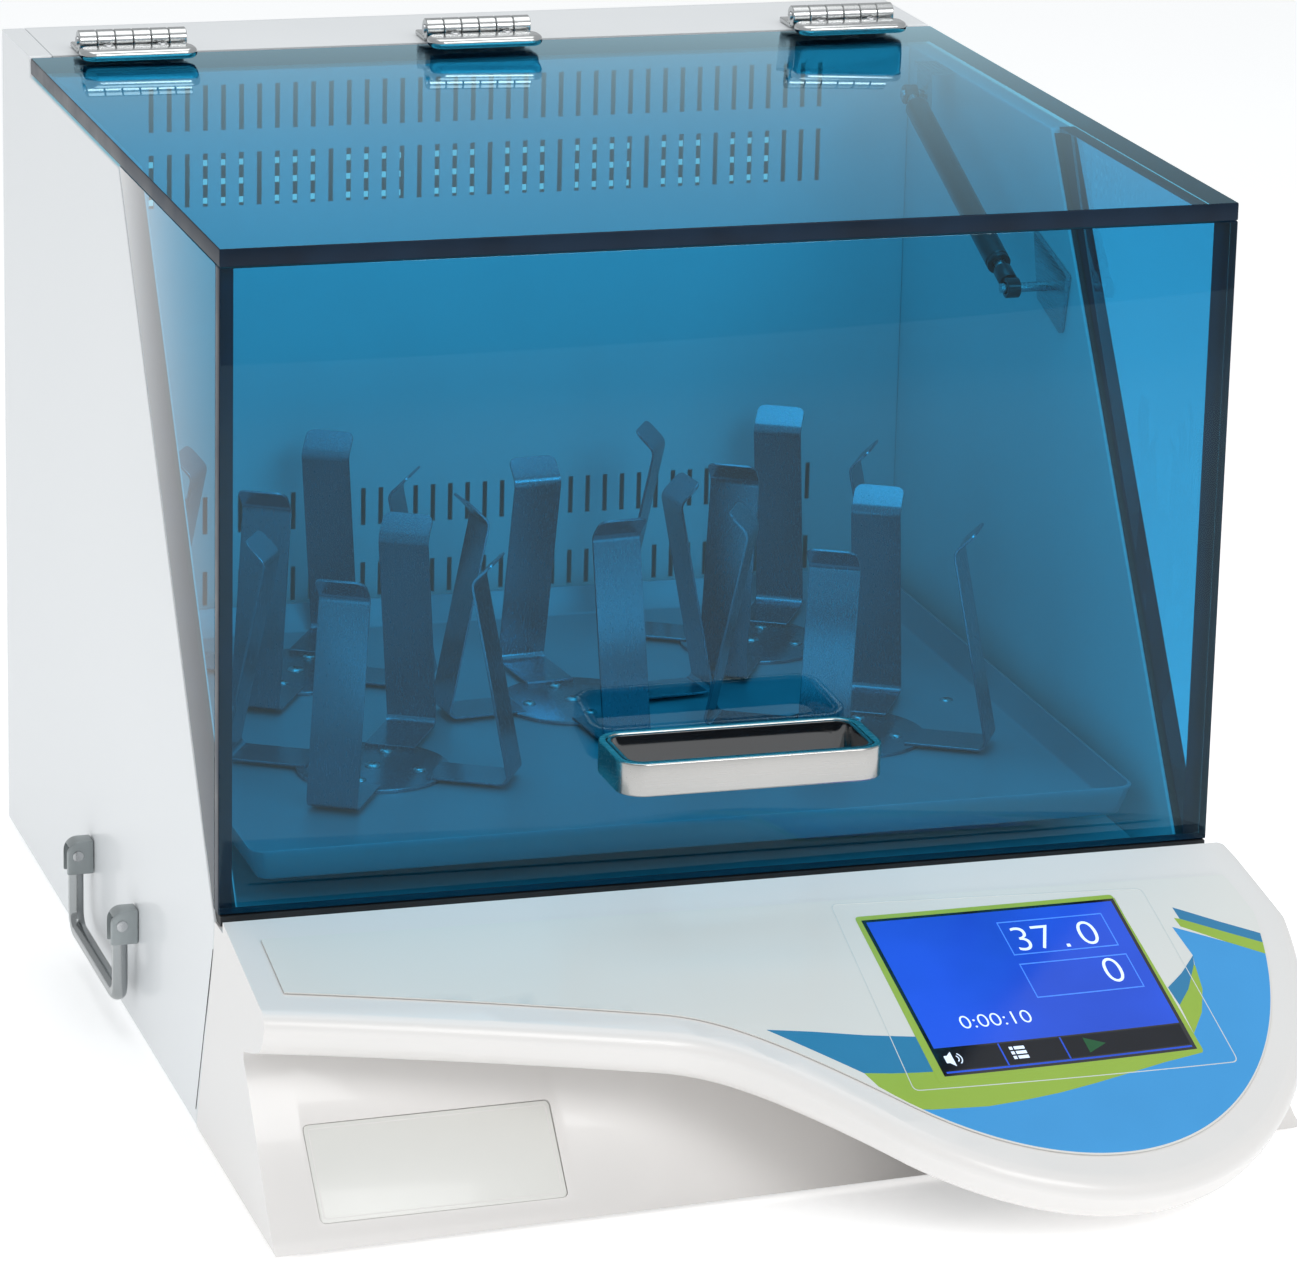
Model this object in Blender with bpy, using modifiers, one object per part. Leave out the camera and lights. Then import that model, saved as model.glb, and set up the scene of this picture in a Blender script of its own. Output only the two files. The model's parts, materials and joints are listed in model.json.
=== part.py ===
"""Benchtop incubated orbital shaker: steel cabinet, tinted acrylic lid on three hinges, an orbiting
platform with five flask clamps, and the drive, air circulation and controls that it holds inside.

Metres, +Z up, +X to the operator's right, +Y to the rear. The origin is on the surface that the
feet rest on, under the middle of the whole object. Run: blender --background --python part.py
"""

import math

import bmesh
import bpy
from mathutils import Matrix, Vector

# ---- Driving dimensions -------------------------------------------------------------------------
LID_FRONT_Y = -0.1871      # outer face of the lid's front pane
CABINET_X = -0.0064        # cabinet's middle: the console's lobe reaches further out than a handle
GAP = 0.0003               # clearance between pieces that touch

HALF_WIDTH = 0.285         # cabinet and lid, centre to outer face
CABINET_DEPTH = 0.600      # lid front face to cabinet rear face
TOP_Z = 0.513              # top of the lid and of the rear cover
SHELL_BOTTOM_Z = 0.004     # lower edge of the panels, above the feet's resting plane
SIDE_WALL = 0.014          # double-skinned side panel
SHEET = 0.0015             # sheet-steel thickness
SEAM_TOP = (0.0124, 0.122)       # fascia joint on the side, as (distance behind lid front, height)
SEAM_BOTTOM = (0.0545, SHELL_BOTTOM_Z)

PANE = 0.010               # acrylic thickness
PANE_REAR = 0.508          # rear edge of the top pane, behind the lid front
LID_BOTTOM_Z = 0.146
SLOPE_LOW = (0.0105, 0.1385)     # ends of the side panel's slanted front edge
SLOPE_HIGH = (0.2625, 0.513)

COVER_FRONT = 0.512        # front edge of the fixed rear strip of the top
HINGE_AFT = 0.515          # hinge axis behind the lid front
HINGE_Z = TOP_Z + 0.008
HINGE_X = (-0.222, -0.007, 0.228)
KNUCKLE = 0.011            # length of one of the six knuckles
BARREL_R = 0.0064
PIN_R = 0.0026

DECK_Z = 0.121             # underside of the chamber floor
REAR_WALL_AFT = 0.505      # chamber face of the slotted rear wall
SLOT_COUNT = 39
SLOT_PITCH = 0.01117
SLOT_WIDTH = 0.003
SLOT_ROWS = ((0.479, 0.028), (0.4345, 0.033), (0.223, 0.024), (0.176, 0.022))  # height, length

ORBIT_R = 0.0095           # 19 mm orbit diameter
DRIVE_AFT = 0.259          # main shaft axis behind the lid front
TRAY_HALF = (0.258, 0.2285)      # half width and half depth over the lip
TRAY_Z = 0.1475
TRAY_LIP = 0.0185
CARRIER_Z = (0.1405, 0.1470)
CRANK_CIRCLE_R = 0.125
BIG_PULLEY_R = 0.060
SMALL_PULLEY_R = 0.022
PULLEY_Z = (0.036, 0.050)
MOTOR_OFFSET = (0.138, 0.020)    # motor axis from the main shaft axis

CLAMP_R = 0.085            # flask radius that the arms close on
CLAMP_ARMS = 4
CLAMP_ARM_W = 0.030
CLAMP_ARM_TOP_R = 0.062
CLAMP_ARM_H = 0.119        # from the tray to the bend under the tip
CLAMP_TIP = (0.012, 0.012)
# Clamp centres from the platform centre, and the heading of the first arm from straight ahead.
CLAMPS = {
    "flask_clamp_front_left": ((-0.145, -0.0535), -30),
    "flask_clamp_front_right": ((0.145, -0.0535), -30),
    "flask_clamp_centre": ((0.003, 0.0435), 6),
    "flask_clamp_rear_left": ((-0.145, 0.1365), -30),
    "flask_clamp_rear_right": ((0.145, 0.1365), -30),
}

STRUT_X = 0.247
STRUT_WALL_END = (0.245, 0.409)  # wall pivot, behind the lid front and height
STRUT_LID_END = (0.435, 0.4858)
STRUT_TUBE_R = 0.0072
STRUT_ROD_R = 0.0038

HANDLE_X = -0.003          # lid handle's middle
HANDLE_HALF = 0.075
HANDLE_REACH = 0.060
HANDLE_Z = (0.216, 0.2347)
HANDLE_T = 0.0042
LINER_T = 0.0025
HANDLE_CORNER = 0.015

EAR_AFT = (0.2034, 0.3288)       # front faces of the carrying handle's two ears
EAR_SIZE = (0.0160, 0.0130, 0.0205)
EAR_Z = 0.058
BAIL_OUT = 0.0098          # pivot axis out from the side panel
BAIL_R = 0.0046
BAIL_PIVOT_Z = 0.0695
BAIL_GRIP_Z = 0.024

FAN_Z = 0.320
FAN_AFT = 0.5285

# Control console: its top is a ruled surface whose fore-aft slope grows to the operator's right.
CONSOLE_TOP = (-0.014, 0.145)    # rear edge of the sloping top, behind lid front and height
CONSOLE_SLOPE_LEFT = 0.19
CONSOLE_SLOPE_GAIN = 0.40
CONSOLE_CUT = 0.0301       # spacing of the edges that let the twisted surface bend
CONSOLE_REAR = -0.0105
LOBE_CENTRE = (0.139, -0.056)
LOBE_R = 0.173
SKIN = 0.003               # moulding wall thickness
OVERLAY_INSET = 0.0195
OVERLAY_T = 0.0007
OVERLAY_GAP = 0.0005

SCREEN_CENTRE = (0.1445, -0.0978)
SCREEN_SIZE = (0.150, 0.120, 0.011)
SCREEN_TWIST = 4.6         # degrees, seen from above

LABEL_SIZE = (0.138, 0.055, 0.0012)
LABEL_CENTRE = (-0.189, 0.0345)  # across, and height
LABEL_RECESS = 0.0006


def aft(distance):
    """World Y of a point this far behind the lid's front face."""
    return LID_FRONT_Y + distance


# ---- Scene, materials and object helpers --------------------------------------------------------
def clear_scene():
    for existing in list(bpy.data.objects):
        bpy.data.objects.remove(existing, do_unlink=True)


clear_scene()
PARTS = bpy.data.collections.new("orbital_shaker")
CUTTERS = bpy.data.collections.new("cutters")
bpy.context.scene.collection.children.link(PARTS)
bpy.context.scene.collection.children.link(CUTTERS)


def material(name, color, roughness, metallic=0.0, alpha=1.0):
    made = bpy.data.materials.new(name)
    made.use_nodes = True
    shader = made.node_tree.nodes["Principled BSDF"]
    shader.inputs["Base Color"].default_value = (*color, 1.0)
    shader.inputs["Roughness"].default_value = roughness
    shader.inputs["Metallic"].default_value = metallic
    shader.inputs["Alpha"].default_value = alpha
    return made


WHITE_PAINT = material("white_paint", (0.80, 0.82, 0.83), 0.35)
FASCIA_PLASTIC = material("fascia_plastic", (0.76, 0.76, 0.75), 0.4)
FILM = material("overlay_film", (0.76, 0.75, 0.72), 0.35)
ACRYLIC = material("blue_acrylic", (0.03, 0.25, 0.45), 0.05, alpha=0.4)
BLACK_RUBBER = material("black_rubber", (0.02, 0.02, 0.022), 0.8)
STEEL = material("brushed_steel", (0.62, 0.62, 0.61), 0.28, metallic=1.0)
ALUMINIUM = material("platform_aluminium", (0.66, 0.68, 0.70), 0.4, metallic=1.0)
CAST_GREY = material("cast_grey", (0.30, 0.33, 0.34), 0.4, metallic=0.8)
DARK_STEEL = material("dark_steel", (0.06, 0.06, 0.07), 0.35, metallic=0.9)
MACHINED = material("machined_steel", (0.55, 0.55, 0.56), 0.3, metallic=1.0)
BLACK_PLASTIC = material("black_plastic", (0.02, 0.02, 0.022), 0.4)
SCREEN_GLASS = material("screen_glass", (0.03, 0.10, 0.60), 0.1)
BOARD_GREEN = material("circuit_board", (0.03, 0.20, 0.08), 0.5)


def add(name, mesh, finish, location=(0, 0, 0), collection=PARTS):
    """Links a mesh as a named object, smooth-shaded with its sharp edges kept."""
    made = bpy.data.objects.new(name, mesh)
    made.location = location
    collection.objects.link(made)
    if finish is not None:
        mesh.materials.clear()
        mesh.materials.append(finish)
    mesh.shade_smooth()
    mesh.set_sharp_from_angle(angle=math.radians(35))
    return made


def mesh_from(bm, name):
    bmesh.ops.recalc_face_normals(bm, faces=bm.faces)
    mesh = bpy.data.meshes.new(name)
    bm.to_mesh(mesh)
    bm.free()
    return mesh


def box(name, low, high, finish, bevel=0.0, collection=PARTS):
    """A cuboid between two world corners; its origin is at its centre."""
    size = [b - a for a, b in zip(low, high)]
    centre = [(a + b) / 2 for a, b in zip(low, high)]
    bm = bmesh.new()
    bmesh.ops.create_cube(bm, size=1.0, matrix=Matrix.Diagonal((*size, 1.0)))
    made = add(name, mesh_from(bm, name), finish, centre, collection)
    if bevel:
        round_edges(made, bevel)
    return made


def round_edges(made, width, segments=2, angle=40):
    rounding = made.modifiers.new("rounded_edges", "BEVEL")
    rounding.width = width
    rounding.segments = segments
    rounding.limit_method = "ANGLE"
    rounding.angle_limit = math.radians(angle)


def cylinder(name, start, end, radius, finish, sides=32, end_radius=None, collection=PARTS):
    """A rod, disc or cone from one world point to another; its origin is at the start."""
    start, end = Vector(start), Vector(end)
    run = end - start
    turn = run.to_track_quat("Z", "Y").to_matrix().to_4x4()
    bm = bmesh.new()
    bmesh.ops.create_cone(
        bm, cap_ends=True, segments=sides, radius1=radius,
        radius2=radius if end_radius is None else end_radius, depth=run.length,
        matrix=turn @ Matrix.Translation((0, 0, run.length / 2)),
    )
    return add(name, mesh_from(bm, name), finish, start, collection)


def turned(name, profile, location, finish, direction=(0, 0, 1), sides=40, collection=PARTS):
    """A turned piece: (radius, height) points, down the outside from the top, about direction."""
    mesh = bpy.data.meshes.new(name)
    corners = [(radius, 0, height) for radius, height in profile]
    closed = profile[0][0] > 0
    count = len(corners)
    edges = [(i, (i + 1) % count) for i in range(count if closed else count - 1)]
    mesh.from_pydata(corners, edges, [])
    made = bpy.data.objects.new(name, mesh)
    collection.objects.link(made)
    made.location = location
    made.rotation_mode = "QUATERNION"
    made.rotation_quaternion = Vector(direction).to_track_quat("Z", "Y")
    spin = made.modifiers.new("turned", "SCREW")
    spin.steps = sides
    spin.render_steps = sides
    spin.use_merge_vertices = True
    spin.merge_threshold = 0.00001
    spin.use_normal_calculate = True
    mesh.materials.append(finish)
    return made


def prism(name, outline, thickness, finish, place, holes=(), collection=PARTS):
    """A flat plate of the outline (and holes), centred on its own XY plane, set by a matrix."""
    curve = bpy.data.curves.new(name, "CURVE")
    curve.dimensions = "2D"
    curve.fill_mode = "BOTH"
    curve.extrude = thickness / 2
    for ring in (outline, *holes):
        spline = curve.splines.new("POLY")
        spline.points.add(len(ring) - 1)
        for point, (u, v) in zip(spline.points, ring):
            point.co = (u, v, 0, 1)
        spline.use_cyclic_u = True
    return meshed(bpy.data.objects.new(name, curve), finish, place, collection)


def meshed(curve_object, finish, place, collection=PARTS):
    """Replaces a curve object by its welded mesh, so that it can be cut and joined."""
    bpy.context.scene.collection.objects.link(curve_object)
    graph = bpy.context.evaluated_depsgraph_get()
    mesh = bpy.data.meshes.new_from_object(curve_object.evaluated_get(graph))
    name = curve_object.name
    bpy.data.objects.remove(curve_object, do_unlink=True)
    bm = bmesh.new()
    bm.from_mesh(mesh)
    bmesh.ops.remove_doubles(bm, verts=bm.verts, dist=0.000002)
    bmesh.ops.recalc_face_normals(bm, faces=bm.faces)
    bm.to_mesh(mesh)
    bm.free()
    made = add(name, mesh, finish, (0, 0, 0), collection)
    made.matrix_world = place
    return made


def tube(name, points, radius, finish, resolution=2, collection=PARTS):
    """A round bar along world points, with flat capped ends."""
    curve = bpy.data.curves.new(name, "CURVE")
    curve.dimensions = "3D"
    curve.bevel_depth = radius
    curve.bevel_resolution = resolution
    curve.use_fill_caps = True
    spline = curve.splines.new("POLY")
    spline.points.add(len(points) - 1)
    for point, place in zip(spline.points, points):
        point.co = (*place, 1)
    return meshed(bpy.data.objects.new(name, curve), finish, Matrix.Identity(4), collection)


def boolean(base, others, operation):
    """Adds a Boolean of each other object, which is moved in among the cutters."""
    for other in others:
        for holder in list(other.users_collection):
            holder.objects.unlink(other)
        CUTTERS.objects.link(other)
        other.hide_render = True
        other.display_type = "WIRE"
        step = base.modifiers.new(f"{operation.lower()}_{other.name}", "BOOLEAN")
        step.operation = operation
        step.solver = "EXACT"
        step.object = other
    return base


def cut(base, *others):
    return boolean(base, others, "DIFFERENCE")


def join(base, *others):
    return boolean(base, others, "UNION")


# ---- Outline helpers ----------------------------------------------------------------------------
def arc(centre, radius, start, end, count):
    """Points along a circular arc, angles in degrees, ends included."""
    steps = [math.radians(start + (end - start) * i / (count - 1)) for i in range(count)]
    return [(centre[0] + radius * math.cos(a), centre[1] + radius * math.sin(a)) for a in steps]


def circle(centre, radius, count=32):
    return arc(centre, radius, 0, 360 * (count - 1) / count, count)


def rounded_rectangle(half_u, half_v, radius, count=5):
    """Anticlockwise outline about the origin."""
    corners = ((1, 1, 0), (-1, 1, 90), (-1, -1, 180), (1, -1, 270))
    outline = []
    for su, sv, start in corners:
        centre = (su * (half_u - radius), sv * (half_v - radius))
        outline += arc(centre, radius, start, start + 90, count)
    return outline


def bezier(p0, p1, p2, p3, count):
    """Points of a cubic Bezier, both ends left out."""
    points = []
    for i in range(1, count + 1):
        t = i / (count + 1)
        weights = ((1 - t) ** 3, 3 * t * (1 - t) ** 2, 3 * t * t * (1 - t), t ** 3)
        points.append(tuple(
            sum(w * p[axis] for w, p in zip(weights, (p0, p1, p2, p3))) for axis in (0, 1)
        ))
    return points


def slope_aft(z):
    """Distance behind the lid front of the side panel's slanted edge at a height."""
    share = (z - SLOPE_LOW[1]) / (SLOPE_HIGH[1] - SLOPE_LOW[1])
    return SLOPE_LOW[0] + share * (SLOPE_HIGH[0] - SLOPE_LOW[0])


# The side plane: a plate's own X becomes world Y, its own Y becomes world Z, and it faces +X.
SIDE_AXES = Matrix(((0, 0, 1), (1, 0, 0), (0, 1, 0))).to_4x4()
# The rear plane: own X is world X, own Y is world Z, and it faces -Y.
UPRIGHT_AXES = Matrix(((1, 0, 0), (0, 0, -1), (0, 1, 0))).to_4x4()


def side_plate(name, outline, x_low, x_high, finish, collection=PARTS):
    """A plate of (distance behind lid front, height) points between two world X values."""
    place = Matrix.Translation(((x_low + x_high) / 2, LID_FRONT_Y, 0)) @ SIDE_AXES
    return prism(name, outline, x_high - x_low, finish, place, collection=collection)


# ---- Cabinet ------------------------------------------------------------------------------------
def side_panel(name, sign):
    ledge_z = TOP_Z - PANE - SHEET
    outline = [
        (CABINET_DEPTH, SHELL_BOTTOM_Z),
        (CABINET_DEPTH, TOP_Z),
        (COVER_FRONT, TOP_Z),
        (COVER_FRONT, ledge_z),
        (slope_aft(ledge_z), ledge_z),
        SLOPE_LOW,
        SEAM_TOP,
        SEAM_BOTTOM,
    ]
    inner, outer = sorted((sign * (HALF_WIDTH - SIDE_WALL), sign * HALF_WIDTH))
    panel = side_plate(name, outline, inner, outer, WHITE_PAINT)
    round_edges(panel, 0.0012)
    return panel


INNER_X = HALF_WIDTH - SIDE_WALL - GAP


def top_rear_cover():
    flange = 0.014
    front = COVER_FRONT
    rear = CABINET_DEPTH - SHEET - GAP
    outline = [
        (front, TOP_Z - flange), (front + SHEET, TOP_Z - flange), (front + SHEET, TOP_Z - SHEET),
        (rear, TOP_Z - SHEET), (rear, TOP_Z), (front, TOP_Z),
    ]
    return side_plate("top_rear_cover", outline, -INNER_X, INNER_X, WHITE_PAINT)


def slot_cutter(name, slots, y_low, y_high):
    """One mesh of separate slots, each (x, z, width, height), for a wall that faces along Y."""
    bm = bmesh.new()
    for x, z, width, height in slots:
        shape = Matrix.Translation((x, (y_low + y_high) / 2, z))
        shape @= Matrix.Diagonal((width, y_high - y_low, height, 1.0))
        bmesh.ops.create_cube(bm, size=1.0, matrix=shape)
    return add(name, mesh_from(bm, name), None, collection=CUTTERS)


def chamber_rear_wall():
    wall = box(
        "chamber_rear_wall",
        (-INNER_X, aft(REAR_WALL_AFT), DECK_Z + 0.0025),
        (INNER_X, aft(REAR_WALL_AFT + SHEET), TOP_Z - PANE - 0.002),
        WHITE_PAINT,
    )
    columns = [(i - (SLOT_COUNT - 1) / 2) * SLOT_PITCH for i in range(SLOT_COUNT)]
    places = [(x, z, SLOT_WIDTH, length) for z, length in SLOT_ROWS for x in columns]
    slots = slot_cutter("air_slots", places, aft(REAR_WALL_AFT - 0.01), aft(REAR_WALL_AFT + 0.01))
    return cut(wall, slots)


INLET_CENTRE = (0.190, 0.075)
INLET_BODY = (0.0135, 0.0225)    # half width and half height of the body behind its flange


def rear_cover():
    cover = box(
        "rear_cover",
        (-INNER_X, aft(CABINET_DEPTH - SHEET), SHELL_BOTTOM_Z + 0.008),
        (INNER_X, aft(CABINET_DEPTH), TOP_Z),
        WHITE_PAINT,
    )
    rows = [0.40 + i * 0.012 for i in range(4)]
    columns = [-0.20 + i * 0.05 for i in range(9)]
    louvres = slot_cutter(
        "rear_louvres", [(x, z, 0.036, 0.004) for z in rows for x in columns],
        aft(CABINET_DEPTH - 0.01), aft(CABINET_DEPTH + 0.01),
    )
    hole = box(
        "inlet_hole",
        (INLET_CENTRE[0] - INLET_BODY[0] - GAP, aft(CABINET_DEPTH - 0.01),
         INLET_CENTRE[1] - INLET_BODY[1] - GAP),
        (INLET_CENTRE[0] + INLET_BODY[0] + GAP, aft(CABINET_DEPTH + 0.01),
         INLET_CENTRE[1] + INLET_BODY[1] + GAP),
        None, collection=CUTTERS,
    )
    return cut(cover, louvres, hole)


SHAFT_XY = (0.0, aft(DRIVE_AFT))
CRANKS = {
    f"support_crank_{i + 1}": (
        SHAFT_XY[0] + CRANK_CIRCLE_R * math.cos(math.radians(90 + 120 * i)),
        SHAFT_XY[1] + CRANK_CIRCLE_R * math.sin(math.radians(90 + 120 * i)),
    )
    for i in range(3)
}
CRANK_PIN_R = 0.005
SHAFT_R = 0.010


def chamber_floor():
    """Deck under the platform, with a bearing boss below it for each support crank."""
    low_y, high_y = aft(CONSOLE_REAR + 0.0250), aft(REAR_WALL_AFT - GAP)
    floor = box("chamber_floor", (-INNER_X, low_y, DECK_Z), (INNER_X, high_y, DECK_Z + SHEET),
                WHITE_PAINT)
    for name, (x, y) in CRANKS.items():
        join(floor, cylinder(f"{name}_boss", (x, y, DECK_Z - 0.014), (x, y, DECK_Z + 0.0007),
                             0.0130, None, sides=14))
    bores = [(SHAFT_XY, SHAFT_R + 0.003)]
    bores += [(place, CRANK_PIN_R + GAP) for place in CRANKS.values()]
    for (x, y), radius in bores:
        cut(floor, cylinder("deck_bore", (x, y, DECK_Z - 0.03), (x, y, DECK_Z + 0.03), radius, None,
                            sides=14))
    return floor


def base_plate():
    return box(
        "base_plate",
        (-INNER_X, aft(-0.055), 0.0102), (INNER_X, aft(CABINET_DEPTH - SHEET - GAP), 0.0120),
        ALUMINIUM,
    )


def feet():
    for row, distance in (("front", -0.025), ("rear", 0.555)):
        for side, sign in (("left", -1), ("right", 1)):
            profile = [(0.0, 0.0099), (0.0150, 0.0099), (0.0165, 0.004), (0.0150, 0.0), (0.0, 0.0)]
            turned(f"foot_{row}_{side}", profile, (sign * 0.235, aft(distance), 0), BLACK_RUBBER,
                   sides=16)


# ---- Front fascia: base skirt and control console in one moulding --------------------------------
def console_z(x, distance):
    """Height of the console's ruled top surface."""
    share = (x + HALF_WIDTH) / (2 * HALF_WIDTH)
    slope = CONSOLE_SLOPE_LEFT + CONSOLE_SLOPE_GAIN * share
    return CONSOLE_TOP[1] + slope * (distance - CONSOLE_TOP[0])


def console_outline(inset, rear=CONSOLE_REAR, left=None):
    """(x, distance) from the rear left corner, round the front edge and lobe, to the rear right."""
    left = -HALF_WIDTH if left is None else left
    radius = LOBE_R - inset
    lobe = arc(LOBE_CENTRE, radius, -125, 0, 24)
    band_end = (-0.070, -0.132 + inset)
    points = [(left, rear), (left, -0.108 + inset * 1.15)]
    steps = 8
    for i in range(1, steps):
        t = i / steps
        points.append((left + t * (band_end[0] - left),
                       points[1][1] + t * (band_end[1] - points[1][1])))
    points.append(band_end)
    points += bezier(band_end, (-0.036, -0.137 + inset), (-0.012, -0.155 + inset), lobe[0], 6)
    points += lobe
    tail_start, tail_end = lobe[-1], (0.294 - inset, CONSOLE_TOP[0] + 0.001)
    share = (min(rear, tail_end[1]) - tail_start[1]) / (tail_end[1] - tail_start[1])
    shoulder = [a + share * (b - a) for a, b in zip(tail_start, tail_end)]
    points.append((shoulder[0] + 0.004 * share, shoulder[1] - 0.006 * share))
    points.append((shoulder[0], rear))
    return points


def ringed_solid(rings, cuts=()):
    """A closed solid of equal-length rings of (x, y, z) points, capped at both ends and scored
    along planes, each (point, direction)."""
    bm = bmesh.new()
    rows = [[bm.verts.new(point) for point in ring] for ring in rings]
    count = len(rows[0])
    for upper, lower in zip(rows, rows[1:]):
        for i in range(count):
            j = (i + 1) % count
            bm.faces.new((upper[i], upper[j], lower[j], lower[i]))
    bm.faces.new(rows[0])
    bm.faces.new(rows[-1])
    bmesh.ops.recalc_face_normals(bm, faces=bm.faces)
    for point, direction in cuts:
        geometry = list(bm.verts) + list(bm.edges) + list(bm.faces)
        bmesh.ops.bisect_plane(bm, geom=geometry, plane_co=point, plane_no=direction)
    return bm


def console_solid(name, steps, rear, left=None, finish=None, collection=PARTS):
    """Stacks console outlines, each (inset, drop below the top surface), and follows its twist."""
    rings = [
        [(x, distance, -drop) for x, distance in console_outline(inset, rear, left)]
        for inset, drop in steps
    ]
    cuts = [((-0.2550 + CONSOLE_CUT * i, 0, 0), (1, 0, 0)) for i in range(19)]
    cuts += [((0, -0.0310 - CONSOLE_CUT * i, 0), (0, 1, 0)) for i in range(7)]
    bm = ringed_solid(rings, cuts)
    for vert in bm.verts:
        vert.co.z += console_z(vert.co.x, vert.co.y)
    return add(name, mesh_from(bm, name), finish, (0, LID_FRONT_Y, 0), collection)


LEDGE_Z = 0.1396           # flat behind the console top, under the lid's gasket
SKIRT_LEFT = (
    (-0.285, 0.0085, LEDGE_Z), (-0.285, -0.012, LEDGE_Z), (-0.285, -0.060, 0.108),
    (-0.285, -0.061, 0.086), (-0.285, -0.1275, 0.0095), (-0.285, -0.137, SHELL_BOTTOM_Z),
    (-0.285, 0.0535, SHELL_BOTTOM_Z), (-0.285, 0.0115, 0.1220),
)
SKIRT_RIGHT = (
    (0.285, 0.0085, LEDGE_Z), (0.287, -0.012, LEDGE_Z), (0.290, -0.045, 0.096),
    (0.292, -0.047, 0.072), (0.311, -0.086, 0.0095), (0.314, -0.091, SHELL_BOTTOM_Z),
    (0.285, 0.0535, SHELL_BOTTOM_Z), (0.285, 0.0115, 0.1220),
)


def skirt_ring(t, inset=0.0):
    """Side view of the lower front cover, this share of the way from left to right."""
    ring = []
    for left, right in zip(SKIRT_LEFT, SKIRT_RIGHT):
        x, distance, z = (a + t * (b - a) for a, b in zip(left, right))
        if inset:
            distance += inset * 1.4 if distance < -0.02 else 0.02
            z -= inset if z > 0.13 else 0.0
            z -= 0.01 if z <= SHELL_BOTTOM_Z else 0.0
            x *= (HALF_WIDTH - 2.2 * inset) / HALF_WIDTH
        ring.append((x, distance, z))
    return ring


def skirt_solid(name, inset=0.0, collection=PARTS):
    """The lower front cover's envelope; a positive inset gives the hollow inside it."""
    columns = 9
    bm = ringed_solid([skirt_ring(i / (columns - 1), inset) for i in range(columns)])
    return add(name, mesh_from(bm, name), None, (0, LID_FRONT_Y, 0), collection)


def label_place(depth):
    """Matrix of the label plate: it lies on the flat of the skirt, sunk by depth."""
    x, z = LABEL_CENTRE
    share = (x + HALF_WIDTH) / (2 * HALF_WIDTH)
    high, low = (Vector(skirt_ring(share)[i]) for i in (3, 4))
    rise = (high - low).normalized()
    ahead = Vector(skirt_ring(share + 0.05)[4]) - low
    across = (ahead - ahead.dot(rise) * rise).normalized()
    out = across.cross(rise)
    centre = low + (high - low) * (z - low.z) / (high.z - low.z)
    centre += (x - centre.x) * across / across.x
    turn = Matrix((across, rise, out)).transposed().to_4x4()
    return Matrix.Translation(Vector((0, LID_FRONT_Y, 0)) + centre - out * depth) @ turn


def label_plate():
    width, height, thickness = LABEL_SIZE
    return prism("label_plate", rounded_rectangle(width / 2, height / 2, 0.003, 4), thickness, FILM,
                 label_place(LABEL_RECESS + thickness / 2))


def label_pocket():
    width, height, thickness = LABEL_SIZE
    deep = LABEL_RECESS + thickness + GAP
    outline = rounded_rectangle(width / 2 + GAP, height / 2 + GAP, 0.003 + GAP, 4)
    return prism("label_pocket", outline, deep + 0.01, None, label_place(deep / 2 - 0.005))


def screen_place(depth):
    """Matrix of the display: own X along its width, own Z out of its face, sunk by depth."""
    x, distance = SCREEN_CENTRE
    step = 0.001
    slope_x = (console_z(x + step, distance) - console_z(x - step, distance)) / (2 * step)
    slope_y = (console_z(x, distance + step) - console_z(x, distance - step)) / (2 * step)
    out = Vector((-slope_x, -slope_y, 1)).normalized()
    twist = math.radians(SCREEN_TWIST)
    across = Vector((math.cos(twist), math.sin(twist), 0))
    across = (across - across.dot(out) * out).normalized()
    turn = Matrix((across, out.cross(across), out)).transposed().to_4x4()
    surface = Vector((x, aft(distance), console_z(x, distance)))
    return Matrix.Translation(surface - out * depth) @ turn


def oriented_box(name, size, place, finish, collection=PARTS):
    bm = bmesh.new()
    bmesh.ops.create_cube(bm, size=1.0, matrix=Matrix.Diagonal((*size, 1.0)))
    made = add(name, mesh_from(bm, name), finish, (0, 0, 0), collection)
    made.matrix_world = place
    return made


def screen_hole(name, margin):
    size = (SCREEN_SIZE[0] + 2 * margin, SCREEN_SIZE[1] + 2 * margin, 0.05)
    return oriented_box(name, size, screen_place(0.0), None, CUTTERS)


def front_fascia():
    console = console_solid(
        "front_fascia",
        [(0.0065, 0.0), (0.0022, 0.0018), (0.0, 0.0062), (0.0012, 0.0105), (0.0100, 0.0260),
         (0.0400, 0.0450)],
        CONSOLE_REAR, finish=FASCIA_PLASTIC,
    )
    hollow = console_solid(
        "console_hollow",
        [(0.0090, SKIN), (0.0170, 0.0240), (0.0520, 0.0410)],
        CONSOLE_REAR - SKIN, left=-HALF_WIDTH + SKIN, collection=CUTTERS,
    )
    join(console, skirt_solid("skirt_envelope"))
    cut(console, hollow, skirt_solid("skirt_hollow", SKIN), screen_hole("screen_hole", 0.0012),
        label_pocket())
    return console


def panel_overlay():
    rear = CONSOLE_TOP[0] - 0.018
    film = console_solid(
        "panel_overlay",
        [(OVERLAY_INSET, -OVERLAY_GAP - OVERLAY_T), (OVERLAY_INSET, -OVERLAY_GAP)],
        rear, left=-HALF_WIDTH + 0.016, finish=FILM,
    )
    return cut(film, screen_hole("overlay_window", 0.0003))


def display_module():
    return oriented_box(
        "display_module", SCREEN_SIZE, screen_place(SCREEN_SIZE[2] / 2 - 0.0006), SCREEN_GLASS
    )


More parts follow.
